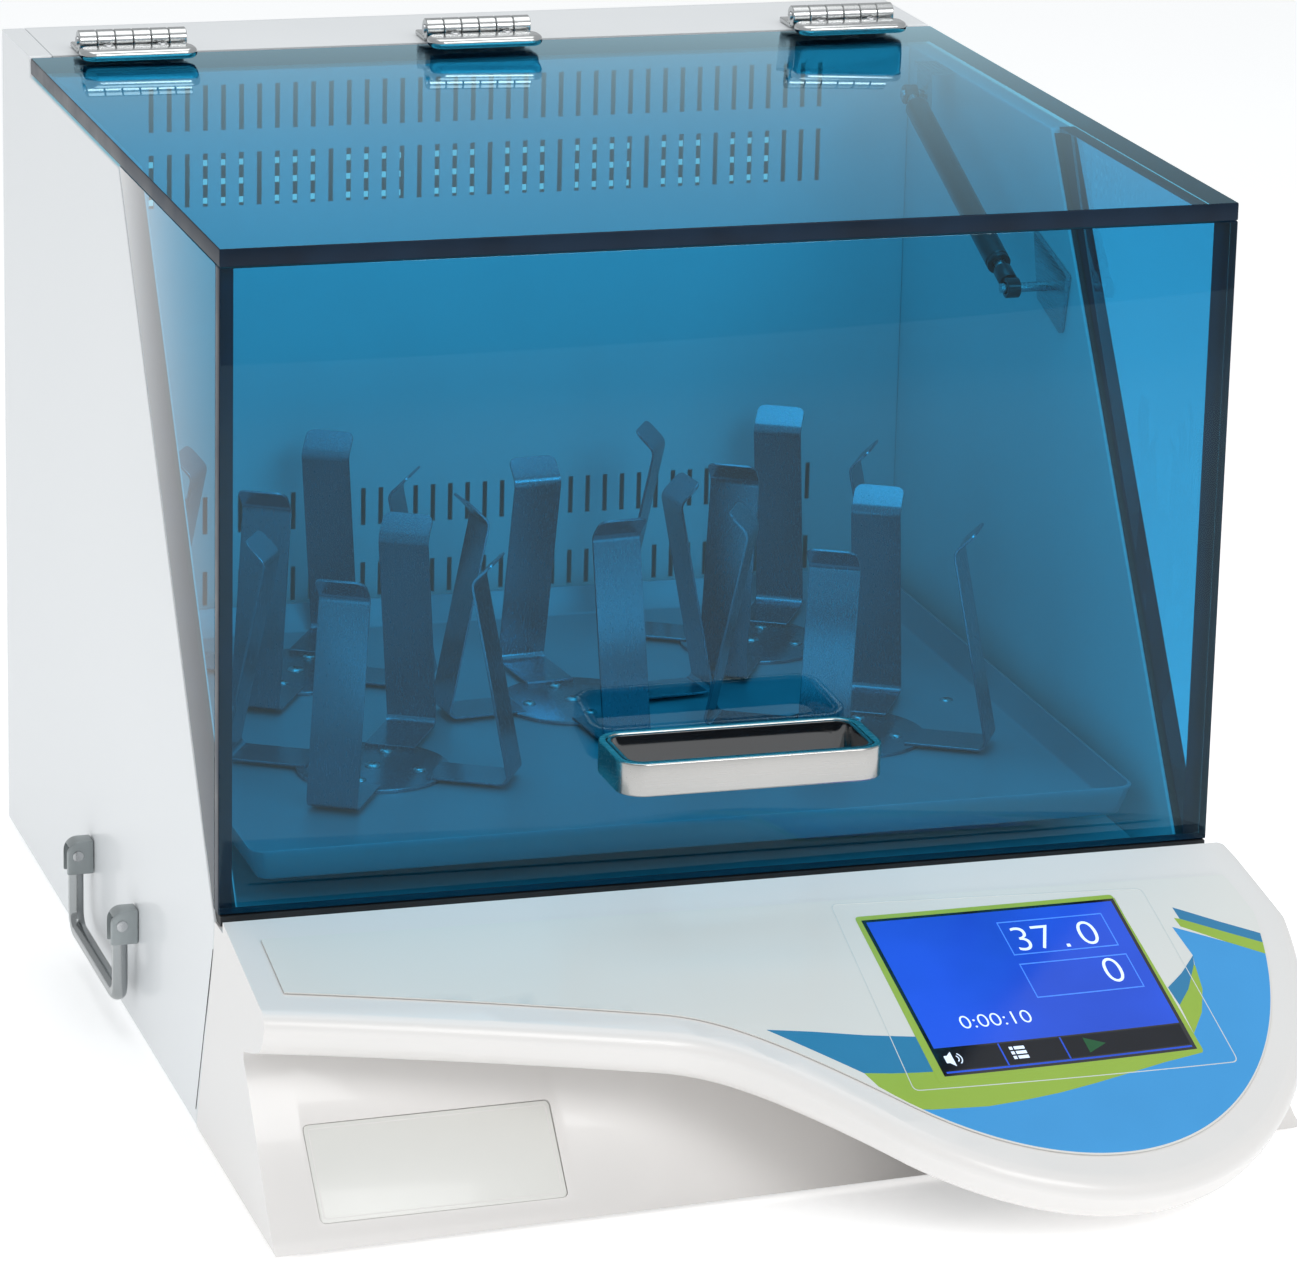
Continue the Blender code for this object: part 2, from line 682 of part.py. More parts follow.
# ---- Lid ----------------------------------------------------------------------------------------
def lid_panes():
    top = box("lid_top_pane", (-HALF_WIDTH, aft(0), TOP_Z - PANE),
              (HALF_WIDTH, aft(PANE_REAR), TOP_Z), ACRYLIC)
    front = box("lid_front_pane", (-HALF_WIDTH, aft(0), LID_BOTTOM_Z),
                (HALF_WIDTH, aft(PANE), TOP_Z - PANE - GAP), ACRYLIC)
    for pane in (top, front):
        round_edges(pane, 0.0006, 1)
    low_z, high_z = LID_BOTTOM_Z, TOP_Z - PANE - GAP
    clearance = 0.0032
    outline = [
        (PANE + GAP, low_z), (slope_aft(low_z) - clearance, low_z),
        (slope_aft(high_z) - clearance, high_z), (PANE + GAP, high_z),
    ]
    side_plate("lid_left_pane", outline, -HALF_WIDTH, PANE - HALF_WIDTH, ACRYLIC)
    side_plate("lid_right_pane", outline, HALF_WIDTH - PANE, HALF_WIDTH, ACRYLIC)


def lid_gasket():
    low_z, high_z = LID_BOTTOM_Z - 0.0058, LID_BOTTOM_Z - 0.0006
    strip = box("lid_gasket", (-HALF_WIDTH + 0.001, aft(-0.001), low_z),
                (HALF_WIDTH - 0.001, aft(PANE - 0.002), high_z), BLACK_RUBBER)
    top_z = TOP_Z - PANE - 0.004
    for side, sign in (("left", -1), ("right", 1)):
        outline = [
            (PANE - 0.0035, low_z), (slope_aft(low_z) - 0.0005, low_z),
            (slope_aft(top_z) - 0.0005, top_z), (slope_aft(top_z) - 0.0021, top_z),
            (slope_aft(high_z) - 0.0021, high_z), (PANE - 0.0035, high_z),
        ]
        x_low, x_high = sorted((sign * (HALF_WIDTH - 0.0125), sign * (HALF_WIDTH - 0.0015)))
        join(strip, side_plate(f"gasket_{side}", outline, x_low, x_high, None))
    return strip


def lid_handle():
    """A closed band that stands out from the pane, and the glossy liner inside it."""
    half_reach = (HANDLE_REACH - GAP) / 2
    height = HANDLE_Z[1] - HANDLE_Z[0]

    def ring(inset):
        return rounded_rectangle(HANDLE_HALF - inset, half_reach - inset, HANDLE_CORNER - inset, 4)

    place = Matrix.Translation((HANDLE_X, aft(-GAP) - half_reach, sum(HANDLE_Z) / 2))
    band = prism("lid_handle_band", ring(0.0), height, STEEL, place, holes=[ring(HANDLE_T)])
    round_edges(band, 0.0009, 1)
    liner_inset = HANDLE_T + GAP
    prism("lid_handle_liner", ring(liner_inset), height - 0.002, BLACK_PLASTIC,
          place @ Matrix.Translation((0, 0, 0.0005)), holes=[ring(liner_inset + LINER_T)])


def hinge(number, x):
    """Fixed leaf with its pin behind the axis, and the moving leaf with its rounded bar in front."""
    name = f"hinge_{number}"
    length = 6 * KNUCKLE
    web_z = (TOP_Z + GAP, TOP_Z + GAP + 0.003)
    axis = Vector((x, aft(HINGE_AFT), HINGE_Z))
    fixed = box(f"{name}_fixed_leaf", (x - length / 2, axis.y + 0.0045, web_z[0]),
                (x + length / 2, axis.y + 0.022, web_z[1]), STEEL)
    moving = box(f"{name}_moving_leaf", (x - length / 2, axis.y - 0.0240, web_z[0]),
                 (x + length / 2, axis.y - 0.0100, web_z[1]), STEEL)
    bar = box(f"{name}_bar", (x - 0.0355, axis.y - 0.0295, web_z[0]),
              (x + 0.0355, axis.y - 0.0085, web_z[0] + 0.0065), None)
    round_edges(bar, 0.0028, 2)
    join(moving, bar)
    for i in range(6):
        low, high = (x + (i - 3) * KNUCKLE + edge for edge in (GAP / 2, KNUCKLE - GAP / 2))
        leaf, other = (fixed, moving) if i % 2 == 0 else (moving, fixed)
        near, far = (0.0015, 0.0060) if leaf is fixed else (-0.0105, -0.0015)
        web = box(f"{name}_web_{i}", (low, axis.y + near, web_z[0] + 0.0001),
                  (high, axis.y + far, web_z[1] - 0.0001), None)
        ring = cylinder(f"{name}_knuckle_{i}", (low, axis.y, axis.z), (high, axis.y, axis.z),
                        BARREL_R, None, sides=14)
        clear = cylinder(f"{name}_clear_{i}", (low - GAP / 2, axis.y, axis.z),
                         (high + GAP / 2, axis.y, axis.z), BARREL_R + 0.0010, None, sides=14)
        join(leaf, web, ring)
        cut(other, clear)
    cut(moving, cylinder(f"{name}_bore", axis - Vector((0.05, 0, 0)), axis + Vector((0.05, 0, 0)),
                         PIN_R + 2 * GAP, None, sides=10))
    join(fixed, cylinder(f"{name}_pin", axis - Vector((length / 2 + 0.001, 0, 0)),
                         axis + Vector((length / 2, 0, 0)), PIN_R, None, sides=10))


# ---- Gas strut ----------------------------------------------------------------------------------
WALL_END = Vector((STRUT_X, aft(STRUT_WALL_END[0]), STRUT_WALL_END[1]))
LID_END = Vector((STRUT_X, aft(STRUT_LID_END[0]), STRUT_LID_END[1]))
STRUT_LINE = (LID_END - WALL_END).normalized()
STRUT_LENGTH = (LID_END - WALL_END).length


def gas_strut():
    eye_half = 0.004
    eye_r = 0.0060
    across = Vector((1, 0, 0))
    start = 0.024
    tube_length = STRUT_LENGTH - start - 0.012
    profile = [
        (0.0, tube_length), (STRUT_TUBE_R - 0.002, tube_length), (STRUT_TUBE_R, tube_length - 0.003),
        (STRUT_TUBE_R, 0.0), (STRUT_ROD_R + GAP, 0.0), (STRUT_ROD_R + GAP, tube_length - 0.008),
        (0.0, tube_length - 0.008),
    ]
    body = turned("gas_strut_tube", profile, WALL_END + STRUT_LINE * start, DARK_STEEL,
                  direction=STRUT_LINE, sides=14)
    upper_eye = cylinder("strut_upper_eye", LID_END - across * eye_half,
                         LID_END + across * eye_half, eye_r, None, sides=14)
    upper_pin = cylinder("strut_upper_pin", LID_END - across * 0.0055,
                         LID_END + across * 0.0073, 0.0030, None, sides=12)
    neck = cylinder("strut_upper_neck", LID_END - STRUT_LINE * 0.020,
                    LID_END - STRUT_LINE * 0.001, 0.0034, None, sides=10)
    join(body, upper_eye, upper_pin, neck)

    rod_end = WALL_END + STRUT_LINE * (start + tube_length - 0.020)
    rod = cylinder("gas_strut_rod", WALL_END + STRUT_LINE * 0.0045, rod_end, STRUT_ROD_R, MACHINED,
                   sides=12)
    lower_eye = cylinder("strut_lower_eye", WALL_END - across * eye_half,
                         WALL_END + across * eye_half, eye_r, None, sides=14)
    collar = cylinder("strut_lower_collar", WALL_END + STRUT_LINE * 0.004,
                      WALL_END + STRUT_LINE * 0.018, 0.0056, None, sides=12)
    lower_bore = cylinder("strut_lower_bore", WALL_END - across * 0.02, WALL_END + across * 0.02,
                          0.0038, None, sides=12)
    join(rod, lower_eye, collar)
    cut(rod, lower_bore)


def strut_brackets():
    """Wall plate with its pivot stud, and the lug under the lid's top pane beside the upper eye."""
    aft_mid, z_mid = STRUT_WALL_END
    outline = [
        (aft_mid - 0.034, z_mid + 0.014), (aft_mid - 0.026, z_mid - 0.022),
        (aft_mid + 0.012, z_mid - 0.010), (aft_mid + 0.022, z_mid + 0.028),
    ]
    wall = side_plate("strut_wall_bracket", outline, INNER_X - 0.003, INNER_X, MACHINED)
    stud = cylinder("strut_stud", WALL_END + Vector((INNER_X - 0.002 - STRUT_X, 0, 0)),
                    WALL_END - Vector((0.007, 0, 0)), 0.0030, None, sides=12)
    join(wall, stud)
    lug_x = STRUT_X + 0.0078
    lug = box("strut_lid_bracket",
              (lug_x, LID_END.y - 0.010, LID_END.z - 0.007),
              (lug_x + 0.003, LID_END.y + 0.010, TOP_Z - PANE - 0.001), MACHINED)
    flange = box("strut_lid_flange",
                 (lug_x, LID_END.y - 0.016, TOP_Z - PANE - GAP - 0.002),
                 (lug_x + 0.014, LID_END.y + 0.016, TOP_Z - PANE - GAP), None)
    join(lug, flange)


# ---- Orbital drive and platform -----------------------------------------------------------------
def crank_pin_xy(x, y):
    """At rest every crank points to the rear."""
    return x, y + ORBIT_R


def main_shaft():
    x, y = SHAFT_XY
    pin_x, pin_y = crank_pin_xy(x, y)
    shaft = cylinder("main_shaft", (x, y, 0.030), (x, y, 0.1300), SHAFT_R, MACHINED, sides=20)
    web = cylinder("eccentric_web", (x, y + ORBIT_R / 2, 0.1250), (x, y + ORBIT_R / 2, 0.1340),
                   0.0215, None, sides=24)
    pin = cylinder("eccentric_pin", (pin_x, pin_y, 0.1330), (pin_x, pin_y, 0.1465), 0.0070, None,
                   sides=16)
    return join(shaft, web, pin)


def bearing_housing():
    x, y = SHAFT_XY
    top = DECK_Z - GAP
    bore = SHAFT_R + GAP
    profile = [
        (0.0480, top), (0.0480, top - 0.007), (0.0260, top - 0.009), (0.0240, 0.068),
        (bore, 0.068), (bore, top),
    ]
    return turned("bearing_housing", profile, (x, y, 0), ALUMINIUM, sides=24)


def driven_pulley():
    """Grooved pulley with the counterweight that balances the loaded platform cast on its top."""
    x, y = SHAFT_XY
    low, high = PULLEY_Z
    bore = SHAFT_R + GAP
    profile = [
        (BIG_PULLEY_R + 0.003, high), (BIG_PULLEY_R + 0.003, high - 0.0015),
        (BIG_PULLEY_R, high - 0.0018), (BIG_PULLEY_R, low + 0.0018),
        (BIG_PULLEY_R + 0.003, low + 0.0015), (BIG_PULLEY_R + 0.003, low), (bore, low),
        (bore, high),
    ]
    pulley = turned("driven_pulley", profile, (x, y, 0), CAST_GREY, sides=28)
    outline = arc((0, 0), 0.058, 190, 350, 10) + arc((0, 0), 0.030, 350, 190, 6)
    weight = prism("counterweight", outline, 0.014, None,
                   Matrix.Translation((x, y, high + 0.0055)))
    return join(pulley, weight)


MOTOR_XY = (SHAFT_XY[0] + MOTOR_OFFSET[0], SHAFT_XY[1] + MOTOR_OFFSET[1])


def drive_motor():
    x, y = MOTOR_XY
    profile = [
        (0.0, DECK_Z - GAP), (0.0380, DECK_Z - GAP), (0.0380, 0.066), (0.0340, 0.062),
        (0.0120, 0.062), (0.0120, 0.058), (0.0040, 0.058), (0.0040, 0.032), (0.0, 0.032),
    ]
    return turned("drive_motor", profile, (x, y, 0), DARK_STEEL, sides=24)


def motor_pulley():
    x, y = MOTOR_XY
    low, high = PULLEY_Z
    rim = SMALL_PULLEY_R
    profile = [
        (rim + 0.003, high), (rim + 0.003, high - 0.0015), (rim, high - 0.0018),
        (rim, low + 0.0018), (rim + 0.003, low + 0.0015), (rim + 0.003, low),
        (0.0040 + GAP, low), (0.0040 + GAP, high),
    ]
    return turned("motor_pulley", profile, (x, y, 0), ALUMINIUM, sides=20)


def belt_path(extra):
    """Open-belt loop round both pulleys, this far out from their grooves."""
    distance = math.hypot(*MOTOR_OFFSET)
    heading = math.degrees(math.atan2(MOTOR_OFFSET[1], MOTOR_OFFSET[0]))
    lean = math.degrees(math.acos((BIG_PULLEY_R - SMALL_PULLEY_R) / distance))
    big = arc((0, 0), BIG_PULLEY_R + extra, heading + lean, heading + 360 - lean, 20)
    small = arc(MOTOR_OFFSET, SMALL_PULLEY_R + extra, heading - lean, heading + lean, 10)
    return big + small


def drive_belt():
    low, high = PULLEY_Z
    place = Matrix.Translation((*SHAFT_XY, (low + high) / 2))
    return prism("drive_belt", belt_path(0.0025), high - low - 0.005, BLACK_RUBBER, place,
                 holes=[belt_path(GAP)])


def support_crank(name, x, y):
    pin_x, pin_y = crank_pin_xy(x, y)
    lower = cylinder(name, (x, y, 0.110), (x, y, 0.1300), CRANK_PIN_R, MACHINED, sides=12)
    web = cylinder(f"{name}_web", (x, y + ORBIT_R / 2, 0.1255), (x, y + ORBIT_R / 2, 0.1335),
                   0.0125, None, sides=14)
    upper = cylinder(f"{name}_pin", (pin_x, pin_y, 0.1330), (pin_x, pin_y, 0.1465), CRANK_PIN_R,
                     None, sides=12)
    return join(lower, web, upper)


TRAY_XY = crank_pin_xy(*SHAFT_XY)


def platform_carrier():
    half_x, half_y = 0.165, 0.150
    holes = [circle((0, 0), 0.0074, 16)]
    for x, y in CRANKS.values():
        holes.append(circle((x - SHAFT_XY[0], y - SHAFT_XY[1]), CRANK_PIN_R + 0.0006, 12))
    place = Matrix.Translation((*TRAY_XY, sum(CARRIER_Z) / 2))
    return prism("platform_carrier", rounded_rectangle(half_x, half_y, 0.012),
                 CARRIER_Z[1] - CARRIER_Z[0], ALUMINIUM, place, holes=holes)


def platform_tray():
    """Pressed tray: a flat floor, and a lip that leans out all round."""
    lean = 0.0055
    half_x, half_y = TRAY_HALF
    levels = (
        (half_x - lean - 0.0015, half_y - lean - 0.0015, 0.006, 0.0),
        (half_x - lean, half_y - lean, 0.007, 0.0012),
        (half_x, half_y, 0.009, TRAY_LIP),
    )
    sheet = 0.0018
    outside = [
        [(u, v, z) for u, v in rounded_rectangle(a, b, r, 4)] for a, b, r, z in levels
    ]
    inside = [
        [(u, v, z + sheet * (z < 0.01)) for u, v in rounded_rectangle(a - sheet, b - sheet, r, 4)]
        for a, b, r, z in levels
    ]
    bm = ringed_solid(outside + inside[::-1])
    return add("platform_tray", mesh_from(bm, "platform_tray"), ALUMINIUM, (*TRAY_XY, TRAY_Z))


def strip(name, path, width, thickness, place, collection=CUTTERS):
    """A bent metal strip: the path lies in its own XZ plane and the width runs along its Y."""
    outline = offset_path(path, thickness)
    turn = Matrix(((1, 0, 0), (0, 0, -1), (0, 1, 0))).to_4x4()
    return prism(name, outline, width, None, place @ turn, collection=collection)


def offset_path(path, thickness):
    """Closed outline of a constant-thickness ribbon whose left side is the path."""
    far = []
    for i, (u, v) in enumerate(path):
        before = Vector(path[max(i - 1, 0)])
        after = Vector(path[min(i + 1, len(path) - 1)])
        here = Vector((u, v))
        first = (here - before).normalized() if i else (after - here).normalized()
        second = (after - here).normalized() if i < len(path) - 1 else first
        normal = Vector((first.y + second.y, -first.x - second.x)).normalized()
        stretch = 1 / max(0.5, normal.dot(Vector((first.y, -first.x))))
        far.append(tuple(here + normal * thickness * stretch))
    return list(path) + far[::-1]


def clamp_arm_path(floor):
    """Down from the tip, in to the flask's shoulder, down its cone, and in under its base."""
    tip = (CLAMP_ARM_TOP_R + CLAMP_TIP[0], floor + CLAMP_ARM_H + CLAMP_TIP[1])
    top = (CLAMP_ARM_TOP_R, floor + CLAMP_ARM_H)
    bend = arc((CLAMP_R - 0.006, floor + 0.006), 0.006, -10, -90, 3)
    return [tip, top] + bend + [(0.036, floor)]


def flask_clamp(name, centre, heading):
    x, y = TRAY_XY[0] + centre[0], TRAY_XY[1] + centre[1]
    floor = TRAY_Z + 0.0018 + GAP
    disc = cylinder(name, (x, y, floor), (x, y, floor + 0.0022), 0.045, STEEL, sides=18)
    for i in range(CLAMP_ARMS):
        turn = math.radians(heading + 360 / CLAMP_ARMS * i - 90)
        place = Matrix.Translation((x, y, 0)) @ Matrix.Rotation(turn, 4, "Z")
        path = clamp_arm_path(floor + 0.0019)
        arm = strip(f"{name}_arm_{i + 1}", path, CLAMP_ARM_W, 0.0015, place)
        join(disc, arm)
    return disc


# ---- Air circulation and electrics --------------------------------------------------------------
def fan():
    centre = Vector((0, aft(FAN_AFT), FAN_Z))
    hub = cylinder("fan_impeller", centre, centre + Vector((0, 0.018, 0)), 0.018, BLACK_PLASTIC,
                   sides=18)
    blades = 6
    for i in range(blades):
        blade = box(f"fan_blade_{i + 1}", (-0.010, -0.0009, 0.012), (0.010, 0.0009, 0.054), None)
        turn = Matrix.Rotation(2 * math.pi * i / blades, 4, "Y")
        pitch = Matrix.Rotation(math.radians(32), 4, "Z")
        lift = Matrix.Translation((0, 0, 0.033))
        blade.matrix_world = Matrix.Translation(centre + Vector((0, 0.009, 0))) @ turn @ lift @ pitch
        join(hub, blade)
    motor_start = centre + Vector((0, 0.018 + 0.001, 0))
    motor_end = Vector((0, aft(CABINET_DEPTH - SHEET - GAP), FAN_Z))
    cylinder("fan_motor", motor_start, motor_end, 0.024, DARK_STEEL, sides=20)


def heater_element():
    """Ring heater round the impeller."""
    centre = Vector((0, aft(FAN_AFT + 0.009), FAN_Z))
    ring_r, wire_r = 0.072, 0.0045
    profile = [
        (ring_r + wire_r * math.cos(a), wire_r * math.sin(a))
        for a in (math.radians(90 - 60 * i) for i in range(6))
    ]
    return turned("heater_element", profile, centre, DARK_STEEL, direction=(0, 1, 0), sides=24)


def electronics():
    board = box("control_board", (-0.235, aft(0.415), 0.0200), (-0.075, aft(0.560), 0.0218),
                BOARD_GREEN)
    supply = box("power_supply_block", (-0.225, aft(0.425), 0.0210), (-0.145, aft(0.550), 0.0560),
                 None)
    relay = box("relay_block", (-0.120, aft(0.450), 0.0210), (-0.090, aft(0.500), 0.0400), None)
    return join(board, supply, relay)


ROCKER_HALF = (0.0085, 0.0065)
ROCKER_Z = INLET_CENTRE[1] + 0.0130
SOCKET_Z = INLET_CENTRE[1] - 0.0090


def power_inlet():
    """Mains inlet with its rocker switch in one snap-in body; no lead is fitted."""
    x, z = INLET_CENTRE
    rear = CABINET_DEPTH
    body = box("power_inlet", (x - INLET_BODY[0], aft(rear - 0.030), z - INLET_BODY[1]),
               (x + INLET_BODY[0], aft(rear + 0.001), z + INLET_BODY[1]), BLACK_PLASTIC)
    flange = box("inlet_flange", (x - 0.0165, aft(rear + GAP), z - 0.0255),
                 (x + 0.0165, aft(rear + 0.0030), z + 0.0255), None)
    socket = box("inlet_socket", (x - 0.0110, aft(rear - 0.018), SOCKET_Z - 0.0080),
                 (x + 0.0110, aft(rear + 0.01), SOCKET_Z + 0.0080), None)
    pocket = box("rocker_pocket",
                 (x - ROCKER_HALF[0] - 0.0004, aft(rear - 0.012), ROCKER_Z - ROCKER_HALF[1] - 0.0006),
                 (x + ROCKER_HALF[0] + 0.0004, aft(rear + 0.01), ROCKER_Z + ROCKER_HALF[1] + 0.0006),
                 None)
    join(body, flange)
    return cut(body, socket, pocket)


def power_rocker():
    """Rocker cap on a cross axis; its two faces meet in a shallow V."""
    x = INLET_CENTRE[0]
    pivot = CABINET_DEPTH - 0.0040
    half = ROCKER_HALF[1]
    outline = [
        (pivot - 0.0045, ROCKER_Z - 0.0040), (pivot + 0.0052, ROCKER_Z - half + 0.0006),
        (pivot + 0.0040, ROCKER_Z), (pivot + 0.0060, ROCKER_Z + half - 0.0010),
        (pivot - 0.0045, ROCKER_Z + 0.0040),
    ]
    return side_plate("power_rocker", outline, x - ROCKER_HALF[0], x + ROCKER_HALF[0],
                      BLACK_PLASTIC)


# ---- Carrying handles ---------------------------------------------------------------------------
def handle_bracket(name, sign, distance):
    """Cast ear open to the outside and below, where the bail's leg swings."""
    width, depth, height = EAR_SIZE
    wall = 0.0022
    cheek = 0.0014
    face = sign * (HALF_WIDTH + GAP)
    outer = face + sign * width
    x_low, x_high = sorted((face, outer))
    ear = box(name, (x_low, aft(distance), EAR_Z), (x_high, aft(distance + depth), EAR_Z + height),
              CAST_GREY)
    round_edges(ear, 0.0035, 3, 60)
    inner = sorted((face + sign * wall, outer + sign * 0.01))
    slot = box(f"{name}_slot", (inner[0], aft(distance + cheek), EAR_Z - 0.01),
               (inner[1], aft(distance + depth - cheek), EAR_Z + height - wall), None)
    return cut(ear, slot)


def carrying_bail(name, sign):
    """Round bar that hangs in its two ears, with its corners bent to an arc."""
    x = sign * (HALF_WIDTH + BAIL_OUT)
    half_depth = EAR_SIZE[1] / 2
    front, rear = aft(EAR_AFT[0] + half_depth), aft(EAR_AFT[1] + half_depth)
    bend = 0.009
    first = arc((front + bend, BAIL_GRIP_Z + bend), bend, 180, 270, 5)
    second = arc((rear - bend, BAIL_GRIP_Z + bend), bend, 270, 360, 5)
    path = [(front, BAIL_PIVOT_Z + 0.003)] + first + second + [(rear, BAIL_PIVOT_Z + 0.003)]
    bail = tube(name, [(x, y, z) for y, z in path], BAIL_R, CAST_GREY)
    return bail


# ---- Assembly -----------------------------------------------------------------------------------
def build():
    side_panel("left_side_panel", -1)
    side_panel("right_side_panel", 1)
    top_rear_cover()
    rear_cover()
    chamber_rear_wall()
    chamber_floor()
    base_plate()
    feet()
    front_fascia()
    panel_overlay()
    display_module()
    label_plate()
    lid_panes()
    lid_gasket()
    lid_handle()
    for number, x in enumerate(HINGE_X, start=1):
        hinge(number, x)
    gas_strut()
    strut_brackets()
    main_shaft()
    bearing_housing()
    driven_pulley()
    drive_motor()
    motor_pulley()
    drive_belt()
    for name, (x, y) in CRANKS.items():
        support_crank(name, x, y)
    platform_carrier()
    platform_tray()
    for name, (centre, heading) in CLAMPS.items():
        flask_clamp(name, centre, heading)
    fan()
    heater_element()
    electronics()
    power_inlet()
    power_rocker()
    for side, sign in (("left", -1), ("right", 1)):
        for end, distance in (("front", EAR_AFT[0]), ("rear", EAR_AFT[1])):
            handle_bracket(f"{side}_handle_bracket_{end}", sign, distance)
        carrying_bail(f"{side}_handle_bail", sign)
    for made in (*PARTS.objects, *CUTTERS.objects):
        made.location.x += CABINET_X


build()
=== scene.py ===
"""Looks of the incubated orbital shaker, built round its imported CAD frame.

Local points are (x, distance behind the lid's front, z) from the cabinet's middle, in metres, and
the helpers shift them into the frame. Each finish is a node material made below.
"""
import json
import math

import bmesh
import bpy
from mathutils import Matrix, Vector


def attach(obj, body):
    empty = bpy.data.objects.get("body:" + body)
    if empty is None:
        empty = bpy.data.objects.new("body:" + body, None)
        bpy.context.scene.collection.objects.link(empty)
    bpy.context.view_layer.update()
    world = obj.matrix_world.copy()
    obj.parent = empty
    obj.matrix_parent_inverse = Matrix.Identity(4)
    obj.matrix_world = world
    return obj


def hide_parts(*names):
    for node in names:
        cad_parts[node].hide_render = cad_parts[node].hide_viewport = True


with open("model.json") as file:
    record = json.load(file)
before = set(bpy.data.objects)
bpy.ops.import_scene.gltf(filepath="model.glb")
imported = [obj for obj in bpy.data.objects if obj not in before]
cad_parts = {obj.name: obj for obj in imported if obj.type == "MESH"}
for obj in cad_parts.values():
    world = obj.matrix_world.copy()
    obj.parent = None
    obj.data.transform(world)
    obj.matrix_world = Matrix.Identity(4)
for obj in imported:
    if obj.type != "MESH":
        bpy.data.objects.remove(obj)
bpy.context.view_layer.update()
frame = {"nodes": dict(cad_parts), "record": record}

# ---- Dimensions: the CAD's, and a few that only the looks need ----
LID_FRONT_Y = -0.1871
CABINET_X = -0.0064
ORIGIN = Vector((CABINET_X, LID_FRONT_Y, 0))
GAP = 0.0003
HALF_WIDTH = 0.285
CABINET_DEPTH = 0.600
TOP_Z = 0.513
SHELL_BOTTOM_Z = 0.004
PANE = 0.010
PANE_REAR = 0.508
LID_BOTTOM_Z = 0.146
SLOPE_LOW = (0.0105, 0.1385)
SLOPE_HIGH = (0.2625, 0.513)
HINGE_AFT = 0.515
HINGE_Z = TOP_Z + 0.008
HINGE_X = (-0.222, -0.007, 0.228)
KNUCKLE = 0.011
BARREL_R = 0.0064
PIN_R = 0.0026
ORBIT_R = 0.0095
DRIVE_AFT = 0.259
TRAY_HALF = (0.258, 0.2285)
TRAY_Z = 0.1475
TRAY_LIP = 0.0185
TRAY_SHEET = 0.0018
CLAMP_R = 0.085
CLAMP_ARM_W = 0.030
CLAMP_ARM_TOP_R = 0.062
CLAMP_ARM_H = 0.119
CLAMP_TIP = (0.012, 0.012)
CLAMPS = {
    "flask_clamp_front_left": ((-0.145, -0.0535), -30),
    "flask_clamp_front_right": ((0.145, -0.0535), -30),
    "flask_clamp_centre": ((0.003, 0.0435), 6),
    "flask_clamp_rear_left": ((-0.145, 0.1365), -30),
    "flask_clamp_rear_right": ((0.145, 0.1365), -30),
}
STRUT_X = 0.247
STRUT_WALL_END = (0.245, 0.409)
STRUT_LID_END = (0.435, 0.4858)
STRUT_TUBE_R = 0.0072
STRUT_ROD_R = 0.0038
HANDLE_X = -0.003
HANDLE_HALF = 0.075
HANDLE_REACH = 0.060
HANDLE_Z = (0.216, 0.2347)
HANDLE_T = 0.0042
LINER_T = 0.0025
HANDLE_CORNER = 0.015
EAR_AFT = (0.2034, 0.3288)
EAR_SIZE = (0.0160, 0.0130, 0.0205)
EAR_Z = 0.058
BAIL_OUT = 0.0098
BAIL_R = 0.0046
BAIL_PIVOT_Z = 0.0695
BAIL_GRIP_Z = 0.024
CONSOLE_TOP = (-0.014, 0.145)
CONSOLE_SLOPE_LEFT = 0.19
CONSOLE_SLOPE_GAIN = 0.40
CONSOLE_REAR = -0.0105
LOBE_CENTRE = (0.139, -0.056)
LOBE_R = 0.173
SKIN = 0.003
OVERLAY_INSET = 0.0195
CONSOLE_SCORE = 0.015
FILM_SCORE = 0.012
LABEL_SIZE = (0.138, 0.055, 0.0012)
LABEL_CENTRE = (-0.189, 0.0345)
SEAM_TOP = (0.0122, 0.1225)     # middle of the side joint, as (distance, height)
SEAM_BOTTOM = (0.0543, 0.0140)
# Painted seam shadow: width, thickness and lift of the black strip laid over each side joint.
SEAM_SHADOW_WIDTH = 0.0009
SEAM_SHADOW_T = 0.00015
SEAM_SHADOW_LIFT = 0.00005
LABEL_RECESS = 0.0006
LEDGE_Z = 0.1396


